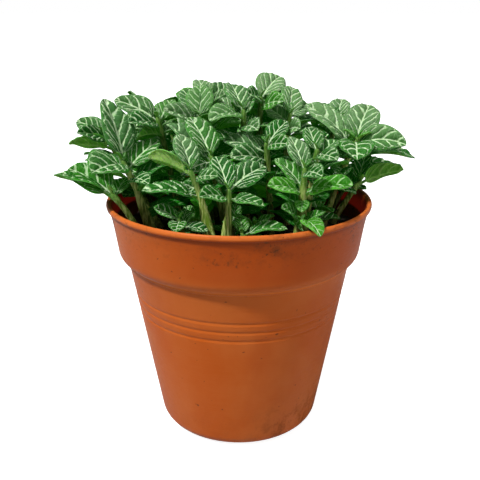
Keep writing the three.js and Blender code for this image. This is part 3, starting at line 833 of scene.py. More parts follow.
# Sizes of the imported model

SOIL_Z = 95.0
SOIL_BUMP = 0.8
STUB_SHOWN = 5.0
LEADING_RADIUS = 1.7
LOW_RADIUS = 1.05
TALL_RADIUS = 1.35
LOW_TOP_Z = 111.0
STEM_TAPER = 0.28
BUD_LENGTH = 3.0
PETIOLE_SHARE = 0.17
PETIOLE_HALF_WIDTH = 0.8
ROUND_POWER = 0.45
POINT_POWER = 0.7
FULLNESS = 1.1
FOLD = radians(14)
BEND = 30.0
CHANGE_SIZES = (1, 0.86, 0.72)
CHANGE_LIFTS = (0, 7, -7, 14, -14, 22)
CHANGE_TURNS = (0, 9, -9, 18, -18)
MATCH_DISTANCE = 0.06
LEADING_SEED = 200
VEINS = VeinPattern()


@dataclass(frozen=True)
class Row:
    """One leaf's place on its shoot.

    Attributes:
        drop: distance below the shoot's top.
        turn: direction round, 0 to the right and 90 to the back.
        lift: angle above level halfway along.
        long: whole length with its stalk.
        wide: greatest width.
        roll: turn about its midrib.
        bend: arch from root to tip, in degrees.
    """

    drop: float
    turn: float
    lift: float
    long: float
    wide: float
    roll: float
    bend: float = BEND


@dataclass(frozen=True)
class Plan:
    """One listed shoot.

    Attributes:
        foot: where it stands on the soil.
        top: where it ends.
        lean: how far its upper half leans for each unit of height.
        leaves: its leaves.
    """

    foot: Point
    top: Place
    lean: Point
    leaves: tuple[Row, ...]


LEADING_SHOOTS = (
    Plan((38, -6), (52, -4, 136), (0.35, -0.4), (
        Row(2, 61, 41, 22, 15, 9), Row(2, -97, -9, 22, 14.5, 0), Row(5, -23, 7, 24.5, 12, 50, 60),
        Row(5, 156, 38, 29, 14.5, -20), Row(10, 12, -3, 33, 11, 8, 40), Row(16, -106, 2, 18, 9, -6),
    )),
    Plan((14, -20), (11.5, -16, 136), (-0.1, -0.4), (
        Row(2, 52, 31, 18, 9, 20), Row(2, -56, 13, 16, 8, 45), Row(5, 168, 14, 20, 10, -33),
        Row(9, -138, 13, 22, 11, -39), Row(19, 35, 5, 20, 11, 10), Row(19, -150, 2, 20, 11, -10),
    )),
    Plan((-5, -17), (-11.5, -21, 131.5), (-0.1, -0.35), (
        Row(2, 128, 45, 23, 13.5, -3), Row(3, -127, -6, 20, 10, -24), Row(8, -52, 6, 18, 9, 33),
        Row(15, -155, 0, 18, 9, -36), Row(4, 166, 39, 26, 12.5, -12),
    )),
    Plan((-3, -44), (-4, -44, 123), (0.05, -0.1), (
        Row(1, 113, 40, 18, 10, -3), Row(1, 44, 19, 22, 12, 24), Row(4, -130, 15, 17, 8.5, -33),
        Row(4, -23, -4, 15, 7.5, 15),
    )),
    Plan((-9, -42), (-19, -40, 129.5), (-0.35, -0.25), (
        Row(1.5, 117, 46, 19, 11, 12), Row(1.5, 150, 16, 20, 10, 54), Row(4, -44, 15, 14, 7, 40),
        Row(12, -164, 11, 24, 11, -12),
    )),
    Plan((-34, -26), (-47.5, -28, 131), (-0.35, -0.35), (
        Row(2, 132, 63, 29, 14.5, 6), Row(2, -119, 2, 20, 16.5, -24), Row(5, 43, 32, 20, 10, 30),
        Row(9, -56, 4, 16, 8, 20),
    )),
    Plan((-42, -20), (-53, -26, 116.5), (-0.7, -0.3), (
        Row(2, 158, 25, 25, 15, -24), Row(3, 179, 22, 28, 12, 6), Row(2, 77, 23, 14, 7, 6),
    )),
    Plan((-36, -4), (-59, -4, 138), (-0.5, -0.2), (
        Row(2, 151, 19, 18, 9, -42), Row(4, -134, 20, 17, 8.5, -45), Row(8, -158, 11, 20, 10, 42),
        Row(3, 83, 28, 16, 9, 3), Row(19, -60, 0, 19, 10.5, 8), Row(19, 120, 4, 22, 12, -6),
    )),
    Plan((-26, -8), (-35, -8, 145.5), (-0.2, -0.25), (
        Row(2, 167, 24, 22, 11, -39), Row(4, -133, 12, 20, 10, -30), Row(4, 140, 34, 24, 8, 24),
        Row(3, 73, 29, 18, 9, 0), Row(8, -120, 6, 18, 9, 54), Row(21, -40, 2, 20, 11, 14),
    )),
    Plan((-13, 2), (-17.5, 3, 144.5), (-0.1, -0.3), (
        Row(2, 118, 32, 22, 11, -18), Row(2, 74, 31, 20, 12, -6), Row(6, -153, 26, 24, 12, -39),
        Row(6, 57, 24, 18, 9, 20), Row(18, 165, 5, 22, 12, -12), Row(18, -20, 3, 21, 11, 14),
    )),
    Plan((-12, 14), (-15, 16, 151.5), (-0.1, -0.1), (
        Row(2, 107, 27, 18, 9, 0), Row(2, 56, 14, 20, 12, 20), Row(5, 144, 16, 20, 10, -24),
        Row(5, -69, 7, 18, 9, 45), Row(16, -160, 0, 22, 12, 0), Row(16, 20, 5, 22, 12, 0),
    )),
    Plan((4, 0), (2, -2, 148), (0, -0.25), (
        Row(2, 108, 31, 22, 12, 9), Row(4, -133, 4, 22, 11, -20, 60), Row(4, 72, 20, 20, 10, -20),
        Row(8, -71, 5, 18, 9, 33), Row(18, 175, 5, 21, 12, -14), Row(18, -5, 3, 21, 12, 12),
        Row(29, 80, 0, 20, 11, 0), Row(29, -100, -4, 19, 11, 0),
    )),
    Plan((10, 12), (10, 10, 152), (0.05, -0.1), (
        Row(1, 60, 25, 21, 13, 24), Row(2, -132, 12, 16, 8, -54), Row(5, -57, 16, 18, 9, 50),
        Row(5, 107, 31, 18, 9, 9), Row(17, 15, 4, 22, 12, 0),
    )),
    Plan((22, 0), (22.5, 0, 146), (0.1, -0.3), (
        Row(2, 52, 17, 16, 8.5, 30), Row(2, 92, 32, 22, 11, 27), Row(5, 131, 21, 16, 8.5, -27),
        Row(8, -75, 12, 16, 8, 60), Row(19, 5, 4, 21, 12, 12), Row(19, -170, 3, 21, 12, -12),
        Row(31, 95, 0, 20, 11, 0),
    )),
    Plan((22, -38), (26, -38, 130), (0, -0.2), (
        Row(2, 115, 45, 18, 9, 0), Row(2, -71, 8, 16, 8, 36), Row(11, -29, 17, 22, 11, 24),
        Row(11, -149, 19, 18, 9, -33), Row(9, 141, 37, 18, 9, -9), Row(22, -132, 34, 14, 7, -51),
    )),
    Plan((28, -22), (32.5, -22, 134.5), (0.1, -0.3), (
        Row(2, 101, 34, 16, 8.5, 3), Row(3, -64, 5, 16, 8, 30), Row(5, -126, 9, 14, 7, -36),
        Row(5, 42, 25, 16, 8, 6),
    )),
    Plan((44, 3), (55.5, 2, 115), (0.7, -0.2), (
        Row(1.5, 6, 17, 22, 11, -54), Row(1.5, 66, 46, 18, 9, 0), Row(5, -118, 13, 16, 8, -45),
    )),
    Plan((30, 16), (45.5, 14, 141), (0.3, 0), (
        Row(2, 74, 29, 20, 10, 0), Row(2, 113, 26, 18, 9, -6), Row(5, -49, 28, 18, 9, 48),
        Row(5, -112, 13, 16, 8, -57),
    )),
    Plan((6, -46), (1, -48, 106.5), (-0.4, -0.1), (
        Row(1, 2, 8, 18, 10, 4), Row(1, 95, 22, 11, 6, 0),
    )),
    Plan((31, -33), (25, -43, 110), (-0.3, -0.4), (
        Row(0.5, -65, -8, 15, 8, 0, 70), Row(2, 20, 25, 11, 6, 0),
    )),
    Plan((-21, -40), (-24, -42, 110.5), (-0.3, -0.2), (
        Row(1, -95, -12, 9, 7, 0), Row(1, 165, 25, 12, 7, -20), Row(4, -12, -4, 11, 6.5, 20),
        Row(4, 80, 30, 10, 6, 0),
    )),
)


# How fresh leaves look where their size doesn't tell it, by shoot and place in its list
FRESH_LEAVES = {
    (1, 0): 0.0, (4, 2): 0.25, (4, 3): 0.3, (5, 1): 1.0, (6, 1): 0.2, (7, 0): 0.3, (7, 1): 0.3,
    (8, 2): 0.9, (9, 3): 0.45, (10, 1): 0.3, (10, 3): 0.6, (11, 2): 0.8, (11, 5): 0.45, (12, 1): 0.35,
    (13, 2): 0.5, (15, 2): 0.75, (15, 3): 0.8, (15, 4): 0.45, (15, 5): 0.5, (17, 0): 0.15, (19, 0): 0.35,
    (20, 0): 1.0, (21, 0): 0.0, (21, 1): 0.0, (21, 2): 0.0,
}

# Small young leaves that face the front
SMALL_LEAVES = {
    15: (Row(13, -96, -25, 8, 5.5, 0), Row(19, -82, -48, 8, 6.4, 0), Row(13, 70, 20, 8, 5, 0)),
    1: (Row(0.5, -20, 30, 7, 4.5, 0), Row(0.5, 165, 34, 7.5, 4.5, 0)),
    16: (Row(8, -100, -15, 8, 5.5, 0),),
}


# The growth rule

@dataclass(frozen=True)
class Kind:
    """A kind of sown shoot, which grows where no listed shoot stands.

    Attributes:
        name: start of its nodes' names.
        rise: height of its top above the soil at the middle of the pot.
        edge_drop: how much less it rises at the edge.
        rise_spread: the most that its height strays.
        radius: the stem's radius.
        leaf: length of its leaves.
        pairs: drop, lift and size of each pair of leaves.
    """

    name: str
    rise: float
    edge_drop: float
    rise_spread: float
    radius: float
    leaf: float
    pairs: tuple[tuple[float, float, float], ...]


TALL = Kind("shoot_back", 56, 24, 4, TALL_RADIUS, 23, ((2, 32, 0.85), (12, 12, 1), (25, 2, 0.95)))
LOW = Kind("shoot_low", 11, 0, 2, LOW_RADIUS, 12, ((1, 30, 0.9), (6, 10, 1)))
SOWING_RADIUS = 46
SOWING_ANGLE = 137.508
SOWING_TURNS = 45
FOOT_SPREAD = 1.5
FRONT_EDGE = -12
FRAME_PIXELS = 480
# Boxes of the frame where the white ground shows between leaves: left, top, right, bottom
GAPS = ((143, 164, 150, 172), (285, 147, 292, 155), (331, 164, 337, 171), (358, 175, 367, 185),
        (109, 182, 117, 202), (372, 148, 410, 167), (52, 150, 70, 176))
NEVER = -1000.0
TALL_REACH = 1.18
TALL_EDGE_REACH = 0.26
LOW_REACH = 1.08
LEAN_DISTANCE = 70
LEAF_WIDTH_SHARE = 0.55
SOWN_BEND = 34
SOWN_TURN_SPREAD = 14
SOWN_LIFT_SPREAD = 8
SOWN_ROLL_SPREAD = 14
SOWN_SIZE_SPREAD = 0.12
DROOP_SHARE = 0.8
SMALL_LEAF = 18.5
HIGH_DROP = 9.0
YOUTH_RANGE = 8.0
SMALL_LEAF_YOUTH = 0.9


@dataclass(frozen=True)
class Leaf:
    """One leaf in place.

    Attributes:
        root: where its stalk leaves the stem.
        row: its direction, sizes and arch.
        seed: its own number from 0 to 1.
        youth: 0 for a grown leaf and 1 for a fresh one.
        shade: 0 for a leaf in the light and 1 for one deep inside.
    """

    root: np.ndarray
    row: Row
    seed: float = 0.5
    youth: float = 0.0
    shade: float = 0.0

    def midrib(self, share: np.ndarray) -> tuple[np.ndarray, np.ndarray, np.ndarray]:
        """The midrib's place and the blade's axes.

        Args:
            share: shares of the whole length from root to tip.

        Returns:
            Places, directions to the side and normals, one row for each share.
        """
        bend = radians(self.row.bend)
        first = radians(self.row.lift) + bend / 2
        rate = bend / self.row.long
        angle = first - rate * share * self.row.long
        out = (np.sin(first) - np.sin(angle)) / rate
        rise = (np.cos(angle) - np.cos(first)) / rate
        heading = np.array((math.cos(radians(self.row.turn)), math.sin(radians(self.row.turn)), 0.0))
        up = np.array((0.0, 0.0, 1.0))
        place = self.root + out[:, None] * heading + rise[:, None] * up
        along = np.cos(angle)[:, None] * heading + np.sin(angle)[:, None] * up
        flat = np.cos(angle)[:, None] * up - np.sin(angle)[:, None] * heading
        flat_side = np.cross(flat, along)
        roll = radians(self.row.roll)
        side = flat_side * math.cos(roll) + flat * math.sin(roll)
        normal = flat * math.cos(roll) - flat_side * math.sin(roll)
        return place, side, normal

    def tip(self) -> np.ndarray:
        """The place of the tip."""
        return self.midrib(np.array((1.0,)))[0][0]

    def half_width(self, blade: np.ndarray) -> np.ndarray:
        """Half the blade's width at shares of the blade's length."""
        widest = ROUND_POWER / (ROUND_POWER + POINT_POWER)
        peak = widest ** ROUND_POWER * (1 - widest) ** POINT_POWER
        form = blade ** ROUND_POWER * (1 - blade) ** POINT_POWER
        return 0.5 * FULLNESS * self.row.wide * form / peak

    def samples(self, rows: int, columns: int) -> tuple[np.ndarray, np.ndarray]:
        """Points spread over the blade.

        Args:
            rows: rows from the stalk's end to the tip.
            columns: points across.

        Returns:
            Places in millimetres, and the share of the length of each.
        """
        blade, across = (grid.ravel() for grid in np.meshgrid(np.linspace(0, 1, rows),
                                                              np.linspace(-1, 1, columns)))
        share = PETIOLE_SHARE + (1 - PETIOLE_SHARE) * blade
        place, side, normal = self.midrib(share)
        half = self.half_width(blade)
        lift = half * np.abs(across) * math.sin(FOLD)
        places = place + side * (across * half * math.cos(FOLD))[:, None] + normal * lift[:, None]
        return places, share


class Shoot:
    """A leafy stem: its curve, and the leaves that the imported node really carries."""

    def __init__(self, name: str, foot: Point, top: Sequence[float], lean: Point, radius: float,
                 seed: int) -> None:
        self.name = name
        self.foot = np.array((foot[0], foot[1], SOIL_Z), float)
        self.top = np.array(top, float)
        self.axis = unit(np.array((*lean, 1.0)))
        self.length = float(np.linalg.norm(self.top - self.foot))
        self.middle = self.top - 0.5 * self.length * self.axis
        self.radius = radius
        self.seed = seed
        self.leaves: list[Leaf] = []
        self.filling: list[Leaf] = []

    def curve(self, share: float) -> tuple[np.ndarray, np.ndarray]:
        """The stem's place and direction.

        Args:
            share: share of its length from the foot.

        Returns:
            Both, in millimetres and at length 1.
        """
        rest = 1 - share
        place = rest ** 2 * self.foot + 2 * rest * share * self.middle + share ** 2 * self.top
        along = rest * (self.middle - self.foot) + share * (self.top - self.middle)
        return place, unit(along)

    def at(self, drop: float) -> tuple[np.ndarray, np.ndarray]:
        """The stem's place and direction at a distance below its top."""
        return self.curve(1 - drop / self.length)

    def set_leaves(self, rows: Sequence[Row], node: bpy.types.Object) -> None:
        """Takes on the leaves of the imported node.

        Each leaf was turned, lifted or made smaller until it cleared its neighbours, and its tip
        in the node's mesh tells which change it took. A leaf with no such tip was left off.

        Args:
            rows: the leaves before any change.
            node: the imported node.
        """
        tree = kdtree.KDTree(len(node.data.vertices))
        for i, vertex in enumerate(node.data.vertices):
            tree.insert(vertex.co / MM, i)
        tree.balance()
        for n, row in enumerate(rows):
            root = self.at(row.drop)[0]
            for changed in changed_rows(row):
                youth = FRESH_LEAVES.get((self.seed - LEADING_SEED, n), self.youth_of(changed))
                leaf = Leaf(root, changed, hashed(self.seed, n, 21), youth)
                if tree.find(Vector(leaf.tip()))[2] < MATCH_DISTANCE:
                    self.leaves.append(leaf)
                    break

    def youth_of(self, row: Row) -> float:
        """How fresh a leaf looks: the small ones near the top are."""
        small = min(1.0, max(0.0, (SMALL_LEAF - row.long) / YOUTH_RANGE))
        high = min(1.0, max(0.0, (HIGH_DROP - row.drop) / YOUTH_RANGE))
        return 0.1 * small + 0.35 * small * high


def changed_rows(row: Row) -> Iterable[Row]:
    """A row with each change that its leaf may have taken, in the order they were tried."""
    for size, lift, turn in product(CHANGE_SIZES, CHANGE_LIFTS, CHANGE_TURNS):
        yield replace(row, turn=row.turn + turn, lift=row.lift + lift, long=row.long * size,
                      wide=row.wide * size)


def leading_shoots() -> list[Shoot]:
    """Takes up the shoots in front and along the outline.

    Returns:
        The shoots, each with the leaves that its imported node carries.
    """
    shoots = []
    for i, plan in enumerate(LEADING_SHOOTS):
        radius = LEADING_RADIUS if plan.top[2] >= LOW_TOP_Z else LOW_RADIUS
        number = i + 1
        shoot = Shoot(f"shoot_{number}", plan.foot, plan.top, plan.lean, radius, LEADING_SEED + number)
        shoot.set_leaves(plan.leaves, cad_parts[shoot.name])
        for n, row in enumerate(SMALL_LEAVES.get(number, ())):
            root = shoot.at(row.drop)[0]
            shoot.leaves.append(Leaf(root, row, hashed(number, n, 22), SMALL_LEAF_YOUTH))
        shoots.append(shoot)
    return shoots


def sown_shoot(j: int) -> tuple[Shoot, list[Row]]:
    """Works out the shoot at one turn of the sowing spiral.

    Args:
        j: the turn.

    Returns:
        The shoot, and its leaves before any change.
    """
    angle = radians(j * SOWING_ANGLE)
    reach = SOWING_RADIUS * math.sqrt((j % SOWING_TURNS) / SOWING_TURNS + 0.02)
    x = reach * math.cos(angle) + FOOT_SPREAD * spread(j, 1, 5)
    y = reach * math.sin(angle) + FOOT_SPREAD * spread(j, 2, 5)
    kind = TALL if y > FRONT_EDGE else LOW
    edge = (reach / SOWING_RADIUS) ** 2
    rise = kind.rise - kind.edge_drop * edge + kind.rise_spread * spread(j, 3, 5)
    out = TALL_REACH + TALL_EDGE_REACH * edge if kind is TALL else LOW_REACH
    lean = (x / LEAN_DISTANCE, y / LEAN_DISTANCE)
    shoot = Shoot("", (x, y), (x * out, y * out, SOIL_Z + rise), lean, kind.radius, j)
    rows = []
    for k, (drop, pair_lift, pair_size) in enumerate(kind.pairs):
        along = shoot.at(drop)[1]
        for side in (0, 1):
            n = 2 * k + side
            stray = SOWN_TURN_SPREAD * spread(j, n, 1)
            heading = 180 * hashed(j, 4, 5) + 90 * k + 180 * side + stray
            tilt = along[0] * math.cos(radians(heading)) + along[1] * math.sin(radians(heading))
            droop = math.degrees(math.asin(tilt))
            size = pair_size * kind.leaf * (1 + SOWN_SIZE_SPREAD * spread(j, n, 2))
            lift = pair_lift - DROOP_SHARE * droop + SOWN_LIFT_SPREAD * spread(j, n, 3)
            rows.append(Row(drop, heading, lift, size, LEAF_WIDTH_SHARE * size,
                            SOWN_ROLL_SPREAD * spread(j, n, 4), SOWN_BEND))
    return shoot, rows


def node_foot(node: bpy.types.Object) -> np.ndarray:
    """Finds where a packed shoot stands.

    Args:
        node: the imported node.

    Returns:
        The middle of its lowest ring, in millimetres.
    """
    places = np.array([tuple(vertex.co / MM) for vertex in node.data.vertices])
    lowest = places[places[:, 2] < places[:, 2].min() + 0.05]
    return np.unique(np.round(lowest[:, :2], 2), axis=0).mean(axis=0)


def sown_shoots() -> list[Shoot]:
    """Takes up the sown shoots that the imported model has, found by where their feet stand.

    Returns:
        The shoots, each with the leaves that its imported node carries.
    """
    feet = {name: node_foot(node) for name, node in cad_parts.items()
            if name.startswith((TALL.name, LOW.name))}
    shoots = []
    for j in range(2 * SOWING_TURNS):
        shoot, rows = sown_shoot(j)
        for name, foot in feet.items():
            if np.linalg.norm(foot - shoot.foot[:2]) < 2 * MATCH_DISTANCE:
                shoot.name = name
                shoot.set_leaves(rows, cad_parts[name])
                shoots.append(shoot)
    return shoots


# The thicket of smaller leaves

@dataclass
class Thicket:
    """Smaller leaves lower on the tall stems, which close the plant where nothing is in their way.

    Attributes:
        cell, low, counts: of the cells that tell which space is taken: side, lowest corner and numbers.
        first_drop, pair_gap: drop of the highest added pair, and distance from pair to pair.
        clear_of_soil: least height of an added leaf's root above the soil.
        wall_radius, reach: how far out an added leaf may reach below the lip and above it.
        sizes, lifts, turns: its length and its changes of lift and direction, the first that fit.
        front_edge: no added leaf stands further forward.
        most_pairs: the most pairs that one shoot gets.
        first_lift, lift_loss: lift of the highest added pair, and how much less each further pair has.
        turn_spread, lift_spread, roll_spread: the most that a leaf's direction, lift and roll stray.
        size_spread: the same for its length, as a share.
        width_share, bend: a leaf's width as a share of its length, and its arch in degrees.
        plain_youth, plain_share: how fresh the plain green leaves are, and which share they make up; they
            stand in for leaves that light comes through, as painted light.
        other_youth: how fresh the others are at most.
        hidden_share: share of an added leaf that may stand before a leading leaf.
        hidden_gap: how much nearer than a leading leaf it must be to count as before it.
        free_stalk: share of the leaf near the stem that may touch others.
        lip_z: height below which the wall is in the way.
        lowest_z: least height of an added leaf.
        stem_step: distance between the places that tell which space a stem takes.
        deepest_shade, shade_z: how dusky the lowest are, and the heights where that starts to end and ends.
    """

    cell: float = 0.9
    low: Place = (-86.0, -66.0, 92.0)
    counts: tuple[int, int, int] = (192, 172, 84)
    first_drop: float = 4.0
    pair_gap: float = 3.3
    clear_of_soil: float = 9.0
    wall_radius: float = 52.0
    reach: float = 70.0
    sizes: tuple[float, ...] = (19.0, 16.0, 13.0, 10.5, 8.5)
    lifts: tuple[float, ...] = (0.0, 16.0, -12.0, 30.0)
    turns: tuple[float, ...] = (0.0, 22.0, -22.0, 44.0, -44.0, 66.0, -66.0)
    front_edge: float = -36.0
    most_pairs: int = 16
    first_lift: float = 24.0
    lift_loss: float = 2.4
    turn_spread: float = 16.0
    lift_spread: float = 6.0
    roll_spread: float = 14.0
    size_spread: float = 0.08
    width_share: float = 0.56
    bend: float = 36.0
    plain_youth: float = 0.9
    plain_share: float = 0.2
    other_youth: float = 0.3
    hidden_share: float = 0.16
    hidden_gap: float = 0.6
    free_stalk: float = 0.34
    lip_z: float = 113.0
    lowest_z: float = 98.0
    stem_step: float = 0.8
    deepest_shade: float = 0.75
    shade_z: Span = (106.0, 136.0)

    def grow(self, shoots: Sequence[Shoot], studio: "Studio") -> None:
        """Adds leaves to the shoots.

        Args:
            shoots: all shoots, with the leaves that they already have.
            studio: the studio, whose camera tells which leaves are in front.
        """
        self.studio = studio
        self.taken = np.zeros(self.counts, bool)
        self.front = np.full((FRAME_PIXELS, FRAME_PIXELS), np.inf)
        for shoot in shoots:
            shares = np.linspace(0, 1, int(shoot.length / self.stem_step))
            self.take(np.array([shoot.curve(share)[0] for share in shares]))
            for leaf in shoot.leaves:
                self.take(leaf.samples(24, 13)[0])
                if shoot.seed > LEADING_SEED:
                    self.screen(leaf.samples(44, 21)[0])
        self.open_inside()
        for pair in range(self.most_pairs):
            for shoot in shoots:
                drop = self.first_drop + self.pair_gap * pair
                if shoot.radius > LOW_RADIUS and shoot.length - drop > self.clear_of_soil:
                    self.add_pair(shoot, pair, drop)

    def open_inside(self) -> None:
        """Frees what lies inside the outline of the leading leaves, apart from the white gaps."""
        covered = np.isfinite(self.front)
        rows = np.arange(FRAME_PIXELS)[:, None]
        first = covered.argmax(axis=0)
        last = FRAME_PIXELS - 1 - covered[::-1].argmax(axis=0)
        inside = covered.any(axis=0) & (rows > first + 2) & (rows < last) & ~covered
        self.front[inside] = NEVER
        for left, top, right, bottom in GAPS:
            self.front[top:bottom, left:right] = np.inf

    def cells(self, places: np.ndarray) -> tuple[np.ndarray, np.ndarray, np.ndarray]:
        """The cells that places fall in, as three rows of indices."""
        found = ((places - np.array(self.low)) / self.cell).astype(int)
        return tuple(np.clip(found, 1, np.array(self.counts) - 2).T)

    def take(self, places: np.ndarray) -> None:
        """Marks the cells round places as taken."""
        x, y, z = self.cells(places)
        for dx, dy, dz in product((-1, 0, 1), repeat=3):
            self.taken[x + dx, y + dy, z + dz] = True

    def screen(self, places: np.ndarray) -> None:
        """Marks how near the leading leaves are in each pixel of the frame."""
        x, y, depth = self.studio.pixels(places)
        for dx, dy in product((-1, 0, 1), repeat=2):
            np.minimum.at(self.front, (y + dy, x + dx), depth)

    def add_pair(self, shoot: Shoot, pair: int, drop: float) -> None:
        """Adds up to two opposite leaves.

        Args:
            shoot: the shoot.
            pair: the pair's number from the top.
            drop: its distance below the top.
        """
        root = shoot.at(drop)[0]
        base = shoot.leaves[0].row.turn if shoot.leaves else 0.0
        for side in (0, 1):
            n = 2 * pair + side
            stray = self.turn_spread * spread(shoot.seed, n, 61)
            heading = base + 45 + 90 * pair + 180 * side + stray
            leaf = self.fit(shoot, root, heading, self.first_lift - self.lift_loss * pair, n)
            if leaf:
                shoot.filling.append(leaf)
                self.take(leaf.samples(16, 9)[0])

    def fit(self, shoot: Shoot, root: np.ndarray, heading: float, lift: float, n: int) -> Leaf | None:
        """Finds the first form of a leaf that is in nothing's way.

        Args:
            shoot: the shoot that it grows on.
            root: where it leaves the stem.
            heading: its direction before any change.
            lift: its lift before any change.
            n: its number on the shoot.

        Returns:
            The leaf, or nothing where none fits.
        """
        luck = hashed(shoot.seed, n, 66)
        # painted light: a share of the added leaves get the fresh colour and stronger painted glow of young
        # blades
        youth = self.plain_youth if luck > 1 - self.plain_share else self.other_youth * luck ** 2
        shade = self.deepest_shade * (1 - float(smooth(root[2], *self.shade_z)))
        stray = self.lift_spread * spread(shoot.seed, n, 63)
        roll = self.roll_spread * spread(shoot.seed, n, 64)
        for size, lifted, turned in product(self.sizes, self.lifts, self.turns):
            long = size * (1 + self.size_spread * spread(shoot.seed, n, 62))
            row = Row(0, heading + turned, lift + lifted + stray, long, self.width_share * long, roll,
                      self.bend)
            leaf = Leaf(root, row, hashed(shoot.seed, n, 65), youth, shade)
            if self.is_clear(leaf):
                return leaf
        return None

    def is_clear(self, leaf: Leaf) -> bool:
        """Whether a leaf is in nothing's way.

        Args:
            leaf: the leaf.

        Returns:
            True where it touches nothing, stays in the plant and hides no leading leaf.
        """
        places, share = leaf.samples(14, 7)
        reach = np.hypot(places[:, 0], places[:, 1])
        below_lip = places[:, 2] < self.lip_z
        if reach.max() > self.reach or reach[below_lip].max(initial=0) > self.wall_radius:
            return False
        if places[:, 1].min() < self.front_edge or places[:, 2].min() < self.lowest_z:
            return False
        if self.taken[self.cells(places[share > self.free_stalk])].any():
            return False
        x, y, depth = self.studio.pixels(places)
        hides = depth < self.front[y, x] - self.hidden_gap
        return hides.mean() < self.hidden_share


# Shapes modelled once

@dataclass(frozen=True)
class Template:
    """A shape that is set down many times."""

    places: np.ndarray
    faces: list[tuple[int, ...]]


def take_template(piece: bpy.types.Object) -> Template:
    """Reads a modelled object and removes it from the scene.

    Args:
        piece: the object.

    Returns:
        Its points and faces.
    """
    mesh = piece.data
    places = np.array([tuple(vertex.co) for vertex in mesh.vertices])
    faces = [tuple(face.vertices) for face in mesh.polygons]
    bpy.data.objects.remove(piece)
    bpy.data.meshes.remove(mesh)
    return Template(places, faces)


def model_blade(rows: int, columns: int) -> Template:
    """A flat leaf: x from root to tip, y across and the underside one unit away.

    Args:
        rows: faces from root to tip.
        columns: faces across.

    Returns:
        The closed flat leaf.
    """
    start_fresh_selection()
    bpy.ops.mesh.primitive_grid_add(x_subdivisions=rows, y_subdivisions=columns, size=2)
    piece = bpy.context.object
    solidify = piece.modifiers.new("thickness", "SOLIDIFY")
    solidify.thickness = 1
    solidify.offset = -1
    bpy.ops.object.modifier_apply(modifier=solidify.name)
    return take_template(piece)


def model_stem(sides: int, steps: int) -> Template:
    """A round stem of unit radius with one unit of height for each step, closed at the top.

    Args:
        sides: faces round it.
        steps: faces along it.

    Returns:
        The straight stem.
    """
    start_fresh_selection()
    bpy.ops.mesh.primitive_circle_add(vertices=sides, radius=1)
    bpy.ops.object.mode_set(mode="EDIT")
    bpy.ops.mesh.select_all(action="SELECT")
    for _ in range(steps):
        bpy.ops.mesh.extrude_region_move(TRANSFORM_OT_translate={"value": (0, 0, 1)})
    bpy.ops.mesh.merge(type="CENTER")
    bpy.ops.mesh.select_all(action="SELECT")
    bpy.ops.mesh.normals_make_consistent(inside=False)
    bpy.ops.object.mode_set(mode="OBJECT")
    return take_template(bpy.context.object)


def model_hair() -> Template:
    """A three-sided spike of unit height on a unit foot."""
    start_fresh_selection()
    bpy.ops.mesh.primitive_cone_add(vertices=3, radius1=1, depth=1, end_fill_type="NOTHING",
                                    location=(0, 0, 0.5))
    bpy.ops.object.transform_apply()
    return take_template(bpy.context.object)


def model_crumb() -> Template:
    """A rough ball of unit size."""
    start_fresh_selection()
    bpy.ops.mesh.primitive_ico_sphere_add(subdivisions=1, radius=1)
    return take_template(bpy.context.object)


class MeshStore:
    """Gathers set-down shapes and makes one mesh of them."""

    NUMBERS = ("half", "long", "seed", "youth", "shade")

    def __init__(self) -> None:
        self.places: list[np.ndarray] = []
        self.uvs: list[np.ndarray] = []
        self.numbers: dict[str, list[np.ndarray]] = {name: [] for name in self.NUMBERS}
        self.faces: list[tuple[int, ...]] = []
        self.slots: list[int] = []
        self.count = 0

    def add(self, places: np.ndarray, faces: Iterable[tuple[int, ...]], slots: Sequence[int],
            uvs: np.ndarray | None = None, **numbers: object) -> None:
        """Adds one shape.

        Args:
            places: its points in millimetres.
            faces: its faces.
            slots: a material slot for each face.
            uvs: a pair for each point, or nothing.
            numbers: a number, or one for each point, for each name in NUMBERS.
        """
        size = len(places)
        self.places.append(places)
        self.uvs.append(np.zeros((size, 2)) if uvs is None else uvs)
        for name in self.NUMBERS:
            self.numbers[name].append(np.broadcast_to(np.asarray(numbers.get(name, 0.0), float), (size,)))
        self.faces.extend(tuple(i + self.count for i in face) for face in faces)
        self.slots.extend(slots)
        self.count += size

    def make(self, name: str, materials: Sequence[bpy.types.Material]) -> bpy.types.Object:
        """Makes the object.

        Args:
            name: its name.
            materials: its materials in slot order.

        Returns:
            The object, at the origin.
        """
        mesh = bpy.data.meshes.new(name)
        mesh.from_pydata(np.concatenate(self.places) * MM, [], self.faces)
        for material in materials:
            mesh.materials.append(material)
        mesh.polygons.foreach_set("material_index", self.slots)
        mesh.polygons.foreach_set("use_smooth", [True] * len(self.faces))
        corners = np.empty(len(mesh.loops), int)
        mesh.loops.foreach_get("vertex_index", corners)
        layer = mesh.uv_layers.new(name="leaf")
        layer.data.foreach_set("uv", np.concatenate(self.uvs)[corners].ravel())
        for label, values in self.numbers.items():
            attribute = mesh.attributes.new(label, "FLOAT", "POINT")
            attribute.data.foreach_set("value", np.concatenate(values))
        mesh.update()
        return put_in_scene(name, mesh)


# Leafy stems

class Detail(Enum):
    """How finely a leaf is modelled: faces from root to tip and across."""

    FINE = (38, 20)
    PLAIN = (22, 12)
    SPARE = (9, 4)
    TINY = (6, 4)


